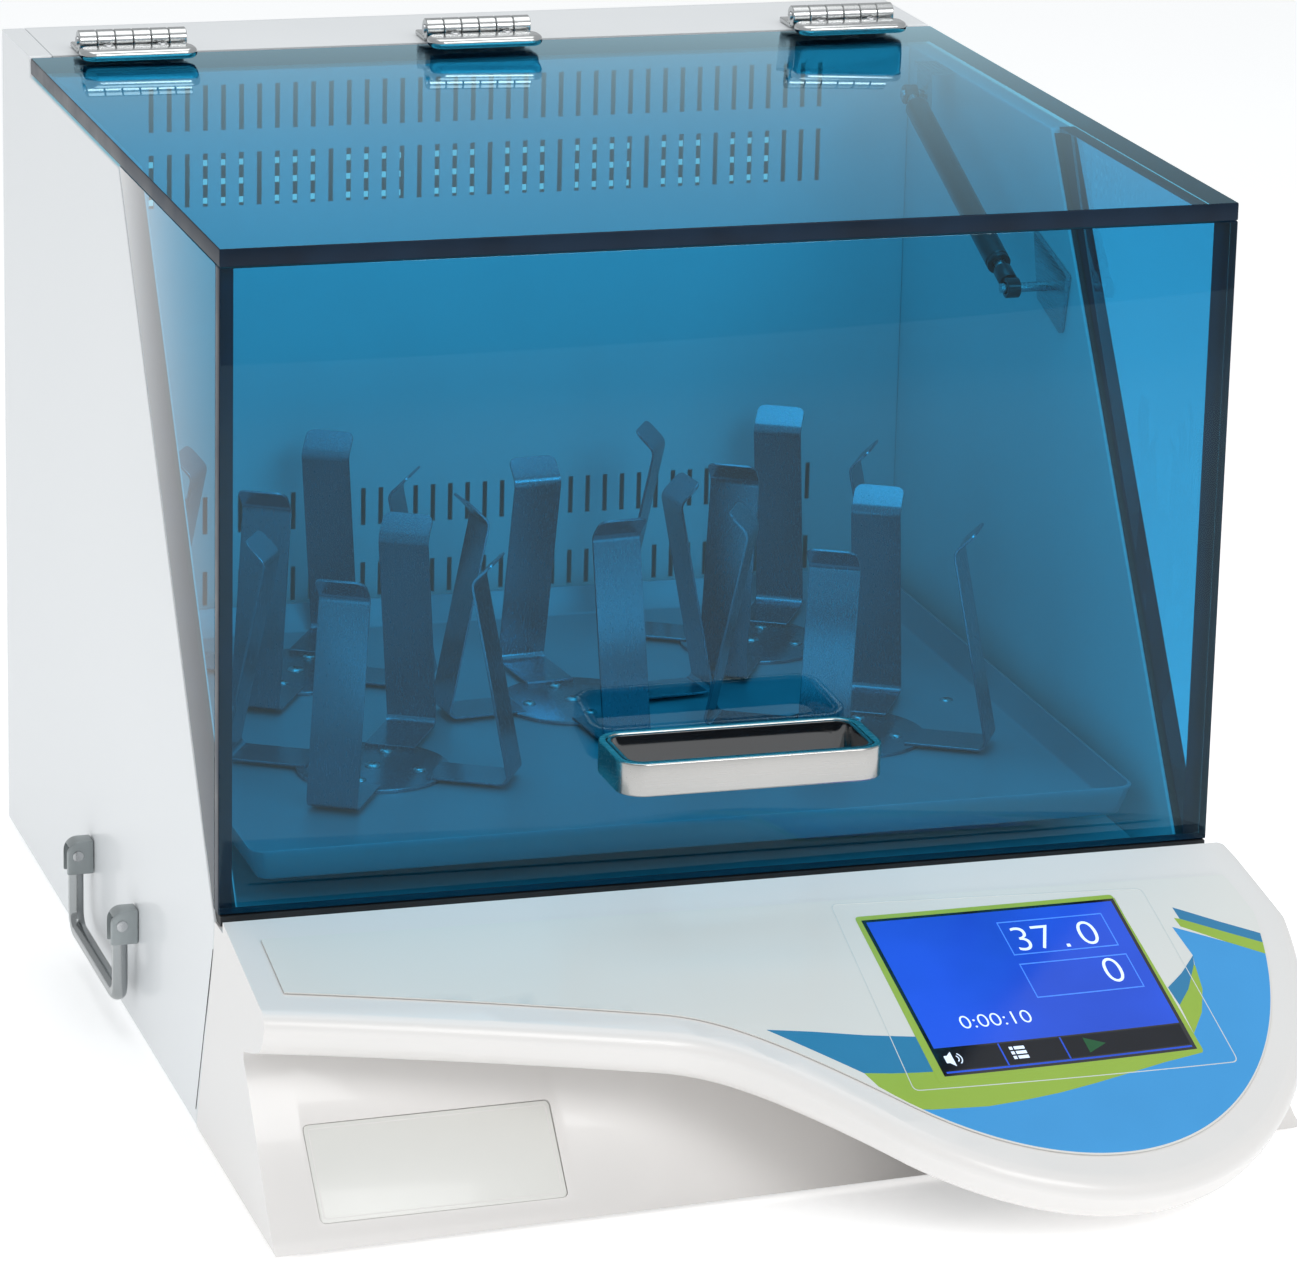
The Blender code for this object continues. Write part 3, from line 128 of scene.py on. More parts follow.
# ---- Node materials ----
class Nodes:
    """A new material, with short helpers to add and link its nodes."""

    def __init__(self, name):
        self.material = bpy.data.materials.new(name)
        self.material.use_nodes = True
        self.tree = self.material.node_tree
        self.tree.nodes.clear()
        self.output = self.add("ShaderNodeOutputMaterial")
        self.place = self.add("ShaderNodeTexCoord").outputs["Object"]

    def add(self, kind, **values):
        node = self.tree.nodes.new(kind)
        for key, value in values.items():
            setattr(node, key, value)
        return node

    def link(self, source, target):
        self.tree.links.new(source, target)

    def noise(self, scale, detail=2.0, stretch=None):
        """Noise on the object's own coordinates; stretch scales each axis for grain."""
        noise = self.add("ShaderNodeTexNoise")
        noise.inputs["Scale"].default_value = scale
        noise.inputs["Detail"].default_value = detail
        source = self.place
        if stretch:
            mapping = self.add("ShaderNodeMapping")
            mapping.inputs["Scale"].default_value = stretch
            self.link(self.place, mapping.inputs["Vector"])
            source = mapping.outputs["Vector"]
        self.link(source, noise.inputs["Vector"])
        return noise.outputs["Fac"]

    def ramp(self, value, stops):
        """Colour ramp of (position, colour) stops."""
        node = self.add("ShaderNodeValToRGB")
        elements = node.color_ramp.elements
        while len(elements) < len(stops):
            elements.new(0.5)
        for element, (position, colour) in zip(elements, stops):
            element.position = position
            element.color = (*colour, 1.0)
        self.link(value, node.inputs["Fac"])
        return node.outputs["Color"]

    def span(self, value, low, high):
        node = self.add("ShaderNodeMapRange")
        node.inputs["From Min"].default_value = 0.3
        node.inputs["From Max"].default_value = 0.7
        node.inputs["To Min"].default_value = low
        node.inputs["To Max"].default_value = high
        self.link(value, node.inputs["Value"])
        return node.outputs["Result"]

    def times(self, a, b):
        node = self.add("ShaderNodeMath", operation="MULTIPLY")
        self.link(a, node.inputs[0])
        self.link(b, node.inputs[1])
        return node.outputs["Value"]

    def bump(self, value, distance):
        node = self.add("ShaderNodeBump")
        node.inputs["Distance"].default_value = distance
        self.link(value, node.inputs["Height"])
        return node.outputs["Normal"]


def shades(colour, spread):
    """Darker and lighter neighbours of a colour."""
    return [tuple(min(1.0, c * (1 + step)) for c in colour) for step in (-spread, spread)]


def surface(name, colour, rough, spread=0.04, metallic=0.0, patch=6.0, grain=900.0, relief=0.00003,
            stretch=None, coat=0.0, glow=0.0, rough_span=0.05, specular=0.5, streaks=0.5):
    """Opaque finish: mottled colour and roughness over fine relief, with optional coat or glow."""
    n = Nodes(name)
    shader = n.add("ShaderNodeBsdfPrincipled")
    low, high = shades(colour, spread)
    broad = n.noise(patch, 3.0)
    fine = n.noise(grain, 2.0, stretch)
    tone = n.ramp(broad, [(0.32, low), (0.68, high)])
    if stretch:
        streak = n.ramp(fine, [(0.30, (0.80, 0.80, 0.80)), (0.70, (1.0, 1.0, 1.0))])
        mix = n.add("ShaderNodeMix", data_type="RGBA", blend_type="MULTIPLY")
        mix.inputs["Factor"].default_value = streaks
        n.link(tone, mix.inputs["A"])
        n.link(streak, mix.inputs["B"])
        tone = mix.outputs["Result"]
    n.link(tone, shader.inputs["Base Color"])
    n.link(n.span(fine if stretch else broad, rough - rough_span, rough + rough_span),
           shader.inputs["Roughness"])
    n.link(n.bump(fine, relief), shader.inputs["Normal"])
    shader.inputs["Metallic"].default_value = metallic
    shader.inputs["Specular IOR Level"].default_value = specular
    if coat:
        shader.inputs["Coat Weight"].default_value = coat
        shader.inputs["Coat Roughness"].default_value = 0.08
    if glow:
        n.link(tone, shader.inputs["Emission Color"])
        shader.inputs["Emission Strength"].default_value = glow
    n.link(shader.outputs["BSDF"], n.output.inputs["Surface"])
    return n.material


ACRYLIC_IOR = 1.49
LAMP_TINT = (0.46, 0.86, 0.96, 1.0)


def see_through(name, colour, mirror):
    """Tinted sheet: each face passes its colour, and its near face mirrors by its Fresnel share.
    Lamps shine through it with their own tint, as they would by the bounces that a render leaves out."""
    n = Nodes(name)
    low, high = shades(colour, 0.02)
    seen = n.add("ShaderNodeLightPath").outputs["Is Camera Ray"]
    tint = n.add("ShaderNodeMix", data_type="RGBA")
    tint.inputs["A"].default_value = LAMP_TINT
    n.link(seen, tint.inputs["Factor"])
    n.link(n.ramp(n.noise(3.0), [(0.3, low), (0.7, high)]), tint.inputs["B"])
    clear = n.add("ShaderNodeBsdfTransparent")
    n.link(tint.outputs["Result"], clear.inputs["Color"])
    gloss = n.add("ShaderNodeBsdfGlossy")
    n.link(n.span(n.noise(18.0, 3.0), 0.012, 0.028), gloss.inputs["Roughness"])
    gloss.inputs["Color"].default_value = (*mirror, 1.0)
    fresnel = n.add("ShaderNodeFresnel")
    fresnel.inputs["IOR"].default_value = ACRYLIC_IOR
    near = n.add("ShaderNodeMath", operation="SUBTRACT")
    near.inputs[0].default_value = 1.0
    n.link(n.add("ShaderNodeNewGeometry").outputs["Backfacing"], near.inputs[1])
    mix = n.add("ShaderNodeMixShader")
    n.link(n.times(n.times(fresnel.outputs["Fac"], near.outputs["Value"]), seen), mix.inputs["Fac"])
    n.link(clear.outputs["BSDF"], mix.inputs[1])
    n.link(gloss.outputs["BSDF"], mix.inputs[2])
    n.link(mix.outputs["Shader"], n.output.inputs["Surface"])
    return n.material


def brushed(name, colour, rough, axis, spread=0.05, relief=0.000008, streaks=0.35):
    """Metal with fine lines along one axis."""
    stretch = [1.0, 1.0, 1.0]
    stretch[axis] = 0.02
    return surface(name, colour, rough, spread, 1.0, 9.0, 1500.0, relief, stretch, streaks=streaks)


def printed(name, colour, spread, patch=12.0):
    """Ink or film on the console."""
    return surface(name, colour, 0.33, spread, patch=patch, grain=3000.0, relief=0.00001, coat=0.2)


def lit(name, colour, rough, spread, glow=0.0, patch=20.0):
    """A part of the display's picture."""
    return surface(name, colour, rough, spread, patch=patch, grain=2500.0, relief=0.000005, glow=glow)


WHITE_PAINT = surface("white_powder_coat", (0.80, 0.82, 0.835), 0.38, 0.012, patch=4.0, grain=1400.0,
                      relief=0.00005, coat=0.25)
FASCIA = surface("satin_moulding", (0.80, 0.775, 0.755), 0.34, 0.012, patch=5.0, grain=2200.0,
                 relief=0.00002, coat=0.35)
FILM = printed("printed_film_cream", (0.77, 0.765, 0.73), 0.012, 7.0)
DEEP_BLUE = printed("printed_film_deep_blue", (0.022, 0.215, 0.42), 0.05)
LIGHT_BLUE = printed("printed_film_light_blue", (0.045, 0.34, 0.74), 0.04)
GREEN = printed("printed_film_green", (0.33, 0.50, 0.055), 0.04)
ACRYLIC = see_through("blue_acrylic", (0.28, 0.70, 0.86), (0.60, 0.88, 1.0))
ACRYLIC_SIDE = see_through("blue_acrylic_side", (0.42, 0.75, 0.86), (1.0, 1.0, 1.0))
ACRYLIC_EDGE = surface("acrylic_edge_navy", (0.003, 0.014, 0.032), 0.34, 0.25, patch=30.0,
                       grain=700.0, relief=0.00002, rough_span=0.06, specular=0.18)
FILM_EDGE = surface("clear_film_edge", (0.70, 0.73, 0.72), 0.25, 0.05, patch=30.0, grain=2500.0,
                    relief=0.00001, coat=0.3)
RUBBER = surface("black_rubber", (0.018, 0.019, 0.021), 0.62, 0.2, patch=40.0, grain=1600.0,
                 relief=0.00008)
STEEL = brushed("brushed_steel", (0.49, 0.48, 0.465), 0.24, 0)
STEEL_HINGE = brushed("polished_hinge_steel", (0.58, 0.59, 0.59), 0.20, 0)
BAIL_STEEL = brushed("bail_steel", (0.33, 0.345, 0.35), 0.22, 1, spread=0.03, streaks=0.1)
SPRING_STEEL = brushed("spring_steel_clamp", (0.33, 0.36, 0.41), 0.24, 2, spread=0.10, relief=0.000002,
                       streaks=0.15)
ALUMINIUM = surface("satin_aluminium", (0.66, 0.68, 0.70), 0.40, 0.05, 0.75, 8.0, 1200.0, 0.00003)
TRAY_FINISH = surface("tray_satin", (0.36, 0.42, 0.46), 0.40, 0.05, 0.35, 7.0, 1400.0, 0.00004)
CAST_GREY = surface("grey_cast_enamel", (0.34, 0.37, 0.375), 0.34, 0.08, 0.55, 30.0, 900.0, 0.00005,
                    coat=0.2)
DARK_STEEL = surface("black_enamel_steel", (0.018, 0.019, 0.021), 0.30, 0.2, 0.2, 20.0, 1200.0,
                     0.00003, coat=0.4)
MACHINED = brushed("machined_steel", (0.52, 0.53, 0.54), 0.28, 1)
BLACK_GLOSS = surface("black_gloss_plastic", (0.008, 0.009, 0.011), 0.09, 0.3, patch=14.0,
                      grain=900.0, relief=0.00001, coat=0.9, rough_span=0.03)
BLACK_PLASTIC = surface("black_moulded_plastic", (0.020, 0.020, 0.022), 0.42, 0.2, patch=20.0,
                        grain=1200.0, relief=0.00006)
BOARD = surface("solder_mask", (0.02, 0.16, 0.06), 0.35, 0.2, patch=60.0, grain=500.0,
                relief=0.00006)
SCREEN_BLUE = lit("screen_blue", (0.017, 0.085, 0.66), 0.12, 0.16, 0.16, 9.0)
SCREEN_LINE = lit("screen_field_line", (0.06, 0.22, 0.80), 0.15, 0.06, 0.5)
SCREEN_WHITE = lit("screen_white", (0.66, 0.78, 0.95), 0.15, 0.04, 0.55)
SCREEN_BAR = lit("screen_bar", (0.008, 0.010, 0.016), 0.12, 0.2)
SCREEN_PLAY = lit("screen_play_green", (0.010, 0.085, 0.03), 0.15, 0.1, 0.3)
SCREW = surface("screw_zinc", (0.50, 0.51, 0.52), 0.26, 0.08, 1.0, 60.0, 1800.0, 0.00003)

CAD_FINISH = {
    "white_paint": WHITE_PAINT, "fascia_plastic": FASCIA, "overlay_film": FILM,
    "blue_acrylic": ACRYLIC, "black_rubber": RUBBER, "brushed_steel": STEEL,
    "platform_aluminium": ALUMINIUM, "cast_grey": CAST_GREY, "dark_steel": DARK_STEEL,
    "machined_steel": MACHINED, "black_plastic": BLACK_PLASTIC, "screen_glass": SCREEN_BLUE,
    "circuit_board": BOARD,
}


def painted(made, finish):
    """The object with this as its only finish."""
    made.data.materials.clear()
    made.data.materials.append(finish)
    return made


for row in frame["record"]["subparts"]:
    painted(frame["nodes"][row["node"]], CAD_FINISH[row["material_slot"]])


# ---- Mesh helpers ----
def arc(centre, radius, start, end, count):
    """Points along a circular arc, angles in degrees, ends included."""
    steps = [math.radians(start + (end - start) * i / (count - 1)) for i in range(count)]
    return [(centre[0] + radius * math.cos(a), centre[1] + radius * math.sin(a)) for a in steps]


def circle(centre, radius, count=48):
    return arc(centre, radius, 0, 360 * (count - 1) / count, count)


def rounded_rectangle(half_u, half_v, radius, count=8):
    """Anticlockwise outline about the origin."""
    outline = []
    for su, sv, start in ((1, 1, 0), (-1, 1, 90), (-1, -1, 180), (1, -1, 270)):
        centre = (su * (half_u - radius), sv * (half_v - radius))
        outline += arc(centre, radius, start, start + 90, count)
    return outline


def bezier(p0, p1, p2, p3, count):
    """Points of a cubic Bezier, both ends left out."""
    points = []
    for i in range(1, count + 1):
        t = i / (count + 1)
        weights = ((1 - t) ** 3, 3 * t * (1 - t) ** 2, 3 * t * t * (1 - t), t ** 3)
        points.append(tuple(sum(w * p[k] for w, p in zip(weights, (p0, p1, p2, p3))) for k in (0, 1)))
    return points


def linked(name, data):
    """A new object in the scene."""
    made = bpy.data.objects.new(name, data)
    bpy.context.scene.collection.objects.link(made)
    return made


def shaded(mesh, angle):
    """Smooth shading up to this edge angle."""
    mesh.shade_smooth()
    mesh.set_sharp_from_angle(angle=math.radians(angle))


def from_bmesh(name, bm, finish, angle=35, place=None):
    """An object of the bmesh; a helper that is cut away later has no finish."""
    bmesh.ops.recalc_face_normals(bm, faces=bm.faces)
    mesh = bpy.data.meshes.new(name)
    bm.to_mesh(mesh)
    bm.free()
    made = linked(name, mesh)
    if finish is not None:
        painted(made, finish)
    shaded(mesh, angle)
    if place is not None:
        made.matrix_world = place
    return made


def applied(made, angle=35):
    """The object with its modifiers applied, shaded smooth up to this edge angle."""
    bpy.context.view_layer.update()
    graph = bpy.context.evaluated_depsgraph_get()
    mesh = bpy.data.meshes.new_from_object(made.evaluated_get(graph))
    made.modifiers.clear()
    made.data = mesh
    shaded(mesh, angle)
    return made


def settled(made):
    """The object with its matrix moved into its mesh."""
    made.data.transform(made.matrix_world)
    made.matrix_world = Matrix.Identity(4)
    return made


def bevelled(made, width, segments=3, limit=30):
    step = made.modifiers.new("edge", "BEVEL")
    step.width = width
    step.segments = segments
    step.limit_method = "ANGLE"
    step.angle_limit = math.radians(limit)
    return applied(made)


def boolean(base, others, operation, angle=35):
    """Applies a Boolean of each other object, which is then removed."""
    for other in others:
        step = base.modifiers.new("cut", "BOOLEAN")
        step.operation = operation
        step.solver = "EXACT"
        step.object = other
    applied(base, angle)
    for other in others:
        bpy.data.objects.remove(other, do_unlink=True)
    return base


def bmesh_of(name, curve, merge=0.000002):
    """The mesh that a curve or a text makes, with its doubled points merged."""
    helper = linked(name, curve)
    graph = bpy.context.evaluated_depsgraph_get()
    bm = bmesh.new()
    bm.from_mesh(bpy.data.meshes.new_from_object(helper.evaluated_get(graph)))
    bpy.data.objects.remove(helper, do_unlink=True)
    bmesh.ops.remove_doubles(bm, verts=bm.verts, dist=merge)
    return bm


def flat(name, rings, thickness):
    """A flat plate of the first ring with the others cut out, centred on the XY plane."""
    curve = bpy.data.curves.new(name, "CURVE")
    curve.dimensions = "2D"
    curve.fill_mode = "BOTH"
    curve.extrude = thickness / 2
    for ring in rings:
        spline = curve.splines.new("POLY")
        spline.points.add(len(ring) - 1)
        for point, (u, v) in zip(spline.points, ring):
            point.co = (u, v, 0, 1)
        spline.use_cyclic_u = True
    return bmesh_of(name, curve)


def prism(name, outline, thickness, finish, place, holes=()):
    """A flat plate of the outline and holes, centred on its own XY plane, set by a matrix."""
    bm = flat(name, (outline, *holes), thickness)
    bmesh.ops.dissolve_limit(bm, angle_limit=0.001, verts=bm.verts, edges=bm.edges)
    return from_bmesh(name, bm, finish, place=place)


def cuboid(name, low, high, finish, bevel=0.0, segments=3):
    """A box between two local corners, with rounded edges."""
    size = [b - a for a, b in zip(low, high)]
    centre = Vector([(a + b) / 2 for a, b in zip(low, high)]) + ORIGIN
    bm = bmesh.new()
    box = Matrix.Translation(centre) @ Matrix.Diagonal((*size, 1.0))
    bmesh.ops.create_cube(bm, size=1.0, matrix=box)
    made = from_bmesh(name, bm, finish)
    return bevelled(made, bevel, segments) if bevel else made


def rod(name, start, end, radius, finish, sides=40, bevel=0.0):
    """A rod between two local points, with softened ends."""
    start, end = Vector(start) + ORIGIN, Vector(end) + ORIGIN
    run = end - start
    turn = run.to_track_quat("Z", "Y").to_matrix().to_4x4()
    bm = bmesh.new()
    bmesh.ops.create_cone(
        bm, cap_ends=True, segments=sides, radius1=radius, radius2=radius, depth=run.length,
        matrix=Matrix.Translation(start) @ turn @ Matrix.Translation((0, 0, run.length / 2)),
    )
    made = from_bmesh(name, bm, finish)
    return bevelled(made, bevel, 2, 40) if bevel else made


def turned(name, profile, place, finish, sides=48, direction=(0, 0, 1)):
    """A turned piece of (radius, height) points about a direction through a local point."""
    turn = Vector(direction).to_track_quat("Z", "Y").to_matrix().to_4x4()
    bm = bmesh.new()
    rings = []
    for radius, height in profile:
        if radius == 0:
            rings.append([bm.verts.new((0, 0, height))])
        else:
            rings.append([bm.verts.new((*point, height)) for point in circle((0, 0), radius, sides)])
    pairs = list(zip(rings, rings[1:]))
    if len(rings[0]) > 1:
        pairs.append((rings[-1], rings[0]))
    for upper, lower in pairs:
        for i in range(sides):
            j = (i + 1) % sides
            corners = [upper[i % len(upper)], upper[j % len(upper)], lower[j % len(lower)],
                       lower[i % len(lower)]]
            bm.faces.new(list(dict.fromkeys(corners)))
    bm.transform(Matrix.Translation(Vector(place) + ORIGIN) @ turn)
    return from_bmesh(name, bm, finish)


def joined(name, pieces):
    """One object of several, keeping each one's material."""
    bm = bmesh.new()
    finishes = []
    for piece in pieces:
        held = [slot.material for slot in piece.material_slots]
        mesh = piece.data.copy()
        mesh.transform(piece.matrix_world)
        for face in mesh.polygons:
            finish = held[face.material_index]
            if finish not in finishes:
                finishes.append(finish)
            face.material_index = finishes.index(finish)
        bm.from_mesh(mesh)
    mesh = bpy.data.meshes.new(name)
    bm.to_mesh(mesh)
    bm.free()
    for finish in finishes:
        mesh.materials.append(finish)
    for piece in pieces:
        bpy.data.objects.remove(piece, do_unlink=True)
    return linked(name, mesh)


def placed(made, body, slot, *nodes):
    """Rides on a body in place of these CAD nodes; the slot is not used."""
    bpy.context.view_layer.update()
    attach(made, body)
    if nodes:
        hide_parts(*nodes)
    return made


SIDE_AXES = Matrix(((0, 0, 1), (1, 0, 0), (0, 1, 0))).to_4x4()
FRONT_AXES = Matrix(((1, 0, 0), (0, 0, -1), (0, 1, 0))).to_4x4()
TO_FRAME = Matrix.Translation(ORIGIN)


def at(*point):
    """Matrix that moves the origin to a local point."""
    return Matrix.Translation(ORIGIN + Vector(point))


def side_plate(name, outline, x_low, x_high, finish):
    """A plate of (distance, height) points between two local X values."""
    place = at((x_low + x_high) / 2, 0, 0) @ SIDE_AXES
    return prism(name, outline, x_high - x_low, finish, place)


# ---- Fascia: console and skirt in one moulding ----
def console_z(x, distance):
    """Height of the console's ruled top surface."""
    share = (x + HALF_WIDTH) / (2 * HALF_WIDTH)
    slope = CONSOLE_SLOPE_LEFT + CONSOLE_SLOPE_GAIN * share
    return CONSOLE_TOP[1] + slope * (distance - CONSOLE_TOP[0])


def console_outline(inset, rear=CONSOLE_REAR, left=-HALF_WIDTH):
    """(x, distance) from the rear left corner, round the front and the lobe, to the rear right."""
    lobe = arc(LOBE_CENTRE, LOBE_R - inset, -125, 0, 72)
    band_end = (-0.070, -0.132 + inset)
    start = (left, -0.108 + inset * 1.15)
    points = [(left, rear), start]
    steps = 16
    for i in range(1, steps):
        t = i / steps
        points.append(tuple(a + t * (b - a) for a, b in zip(start, band_end)))
    points.append(band_end)
    points += bezier(band_end, (-0.036, -0.137 + inset), (-0.012, -0.155 + inset), lobe[0], 20)
    points += lobe
    tail_start, tail_end = lobe[-1], (0.294 - inset, CONSOLE_TOP[0] + 0.001)
    share = (min(rear, tail_end[1]) - tail_start[1]) / (tail_end[1] - tail_start[1])
    shoulder = [a + share * (b - a) for a, b in zip(tail_start, tail_end)]
    points.append((shoulder[0] + 0.004 * share, shoulder[1] - 0.006 * share))
    points.append((shoulder[0], rear))
    return points


def ringed(rings):
    """A closed bmesh of equal-length rings, capped at both ends."""
    bm = bmesh.new()
    rows = [[bm.verts.new(point) for point in ring] for ring in rings]
    count = len(rows[0])
    for upper, lower in zip(rows, rows[1:]):
        for i in range(count):
            j = (i + 1) % count
            bm.faces.new((upper[i], upper[j], lower[j], lower[i]))
    bm.faces.new(rows[0])
    bm.faces.new(rows[-1])
    bmesh.ops.recalc_face_normals(bm, faces=bm.faces)
    return bm


def scored(bm, spacing):
    """Cuts a bmesh along planes this far apart, so that it can follow the twisted surface."""
    for axis, (low, high) in enumerate(((-0.29, 0.32), (-0.235, 0.0))):
        direction = [0, 0, 0]
        direction[axis] = 1
        for i in range(1, int((high - low) / spacing)):
            point = [0, 0, 0]
            point[axis] = low + 0.00037 + i * spacing
            geometry = list(bm.verts) + list(bm.edges) + list(bm.faces)
            bmesh.ops.bisect_plane(bm, geom=geometry, plane_co=point, plane_no=direction)
    return bm


def on_console(name, bm, finish, angle=35):
    """Lifts a flat bmesh on to the console's top surface."""
    for vert in bm.verts:
        vert.co.z += console_z(vert.co.x, vert.co.y)
    bm.transform(TO_FRAME)
    return from_bmesh(name, bm, finish, angle)


def console_solid(name, steps, rear, left=-HALF_WIDTH, finish=None):
    """A solid below the console's surface, of (inset, drop) steps."""
    rings = [
        [(x, distance, -drop) for x, distance in console_outline(inset, rear, left)]
        for inset, drop in steps
    ]
    return on_console(name, scored(ringed(rings), CONSOLE_SCORE), finish, 50)


def rounded_steps(steps):
    """Catmull-Rom points through (inset, drop) steps, for a soft moulded edge."""
    between = 4
    points = []
    for i in range(len(steps) - 1):
        p0, p1, p2, p3 = (steps[max(0, min(len(steps) - 1, i + k))] for k in (-1, 0, 1, 2))
        for j in range(between):
            t = j / between
            point = [
                0.5 * (2 * b + (c - a) * t + (2 * a - 5 * b + 4 * c - d) * t * t
                       + (3 * b - a - 3 * c + d) * t ** 3)
                for a, b, c, d in zip(p0, p1, p2, p3)
            ]
            points.append((max(0.0, point[0]), max(0.0, point[1])))
    points.append(steps[-1])
    return points


SKIRT_LEFT = (
    (-0.285, 0.0085, LEDGE_Z), (-0.285, -0.012, LEDGE_Z), (-0.285, -0.060, 0.108),
    (-0.285, -0.061, 0.086), (-0.285, -0.1275, 0.0095), (-0.285, -0.137, SHELL_BOTTOM_Z),
    (-0.285, 0.0535, SHELL_BOTTOM_Z), (-0.285, 0.0115, 0.1220),
)
SKIRT_RIGHT = (
    (0.285, 0.0085, LEDGE_Z), (0.287, -0.012, LEDGE_Z), (0.290, -0.045, 0.096),
    (0.292, -0.047, 0.072), (0.311, -0.086, 0.0095), (0.314, -0.091, SHELL_BOTTOM_Z),
    (0.285, 0.0535, SHELL_BOTTOM_Z), (0.285, 0.0115, 0.1220),
)


def skirt_ring(t, inset=0.0):
    """Side view of the lower front cover, this share of the way from left to right."""
    ring = []
    for left, right in zip(SKIRT_LEFT, SKIRT_RIGHT):
        x, distance, z = (a + t * (b - a) for a, b in zip(left, right))
        if inset:
            distance += inset * 1.4 if distance < -0.02 else 0.02
            z -= inset if z > 0.13 else 0.0
            z -= 0.01 if z <= SHELL_BOTTOM_Z else 0.0
            x *= (HALF_WIDTH - 4.5 * inset) / HALF_WIDTH
        ring.append((x, distance, z))
    return ring


def skirt_solid(name, inset=0.0):
    columns = 25
    bm = ringed([skirt_ring(i / (columns - 1), inset) for i in range(columns)])
    bm.transform(TO_FRAME)
    return from_bmesh(name, bm, None)


def label_place(depth):
    """Matrix of the label plate on the flat of the skirt, sunk by depth."""
    x, z = LABEL_CENTRE
    share = (x + HALF_WIDTH) / (2 * HALF_WIDTH)
    high, low = (Vector(skirt_ring(share)[i]) for i in (3, 4))
    rise = (high - low).normalized()
    ahead = Vector(skirt_ring(share + 0.05)[4]) - low
    across = (ahead - ahead.dot(rise) * rise).normalized()
    out = across.cross(rise)
    centre = low + (high - low) * (z - low.z) / (high.z - low.z)
    centre += (x - centre.x) * across / across.x
    turn = Matrix((across, rise, out)).transposed().to_4x4()
    return Matrix.Translation(ORIGIN + centre - out * depth) @ turn


def patch(name, outline, low, high, finish, hole=None):
    """A film between two heights over the console's surface, cut to an (x, distance) outline."""
    bm = flat(name, (outline, hole) if hole else (outline,), high - low)
    bmesh.ops.translate(bm, verts=bm.verts, vec=(0, 0, (low + high) / 2))
    return on_console(name, scored(bm, FILM_SCORE), finish)


def corner(before, here, after, radius, count):
    """A short curve that rounds the corner between two straight runs."""
    here = Vector(here)
    before, after = Vector(before) - here, Vector(after) - here
    reach = min(radius, before.length / 2.2, after.length / 2.2)
    a, b = here + before.normalized() * reach, here + after.normalized() * reach
    steps = [k / count for k in range(count + 1)]
    return [tuple((1 - t) ** 2 * a + 2 * t * (1 - t) * here + t * t * b) for t in steps]


def softened(points, radius):
    """The closed outline with its corners rounded."""
    made = []
    for i, point in enumerate(points):
        made += corner(points[i - 1], point, points[(i + 1) % len(points)], radius, 4)
    return made


# Corners of the display's lit area, from its top left, clockwise: (x, distance).
SCREEN = ((0.0645, -0.0488), (0.2126, -0.0437), (0.2264, -0.1404), (0.0751, -0.1598))


def on_screen(s, t):
    """(x, distance) at a share of the display's width and of its height from the top."""
    tl, tr, br, bl = SCREEN
    return tuple(
        (1 - t) * ((1 - s) * tl[k] + s * tr[k]) + t * ((1 - s) * bl[k] + s * br[k]) for k in (0, 1)
    )


def screen_box(s0, t0, s1, t1):
    return [on_screen(s0, t0), on_screen(s1, t0), on_screen(s1, t1), on_screen(s0, t1)]


FILM_TOP = 0.0012
LIFT = {"print": (0.00110, 0.00134), "glass": (-0.0100, 0.00155), "picture": (0.00150, 0.00166),
        "marks": (0.00160, 0.00177)}
DISPLAY_HOLE = [on_screen(s, t) for s, t in ((-0.012, -0.014), (1.012, -0.014), (1.012, 1.014),
                                             (-0.012, 1.014))]


def fascia():
    steps = rounded_steps([(0.0065, 0.0), (0.0022, 0.0018), (0.0, 0.0062), (0.0012, 0.0105),
                           (0.0100, 0.0260), (0.0400, 0.0450)])
    body = console_solid("fascia_moulding", steps, CONSOLE_REAR, finish=FASCIA)
    hollow = console_solid("hollow", [(0.0090, SKIN), (0.0170, 0.0240), (0.0520, 0.0410)],
                           CONSOLE_REAR - SKIN, left=-HALF_WIDTH + SKIN)
    window = patch("window", DISPLAY_HOLE, -0.06, 0.01, None)
    width, height, thickness = LABEL_SIZE
    deep = LABEL_RECESS + thickness + GAP
    pocket = prism("pocket", rounded_rectangle(width / 2 + GAP, height / 2 + GAP, 0.0033),
                   deep + 0.01, None, label_place(deep / 2 - 0.005))
    boolean(body, [skirt_solid("skirt")], "UNION")
    boolean(body, [hollow, skirt_solid("skirt_hollow", SKIN), window, pocket], "DIFFERENCE", 40)
    placed(painted(body, FASCIA), "cabinet", "fascia_plastic", "front_fascia")


def painted_seam_shadow():
    """Thin black strip over each joint between a side panel and the front moulding, as painted shadow of
    the seam's gap.
    """
    (top_y, top_z), (low_y, low_z) = SEAM_TOP, SEAM_BOTTOM
    half = SEAM_SHADOW_WIDTH / 2
    outline = [(top_y - half, top_z), (top_y + half, top_z), (low_y + half, low_z),
               (low_y - half, low_z)]
    reach = HALF_WIDTH + SEAM_SHADOW_LIFT
    for side, x_low in (("left", -reach - SEAM_SHADOW_T), ("right", reach)):
        # The black rubber finish here paints the seam's shadow.
        seam_shadow_strip = side_plate(f"painted_seam_shadow_{side}", outline, x_low, x_low + SEAM_SHADOW_T, RUBBER)
        placed(seam_shadow_strip, "cabinet", "black_rubber")


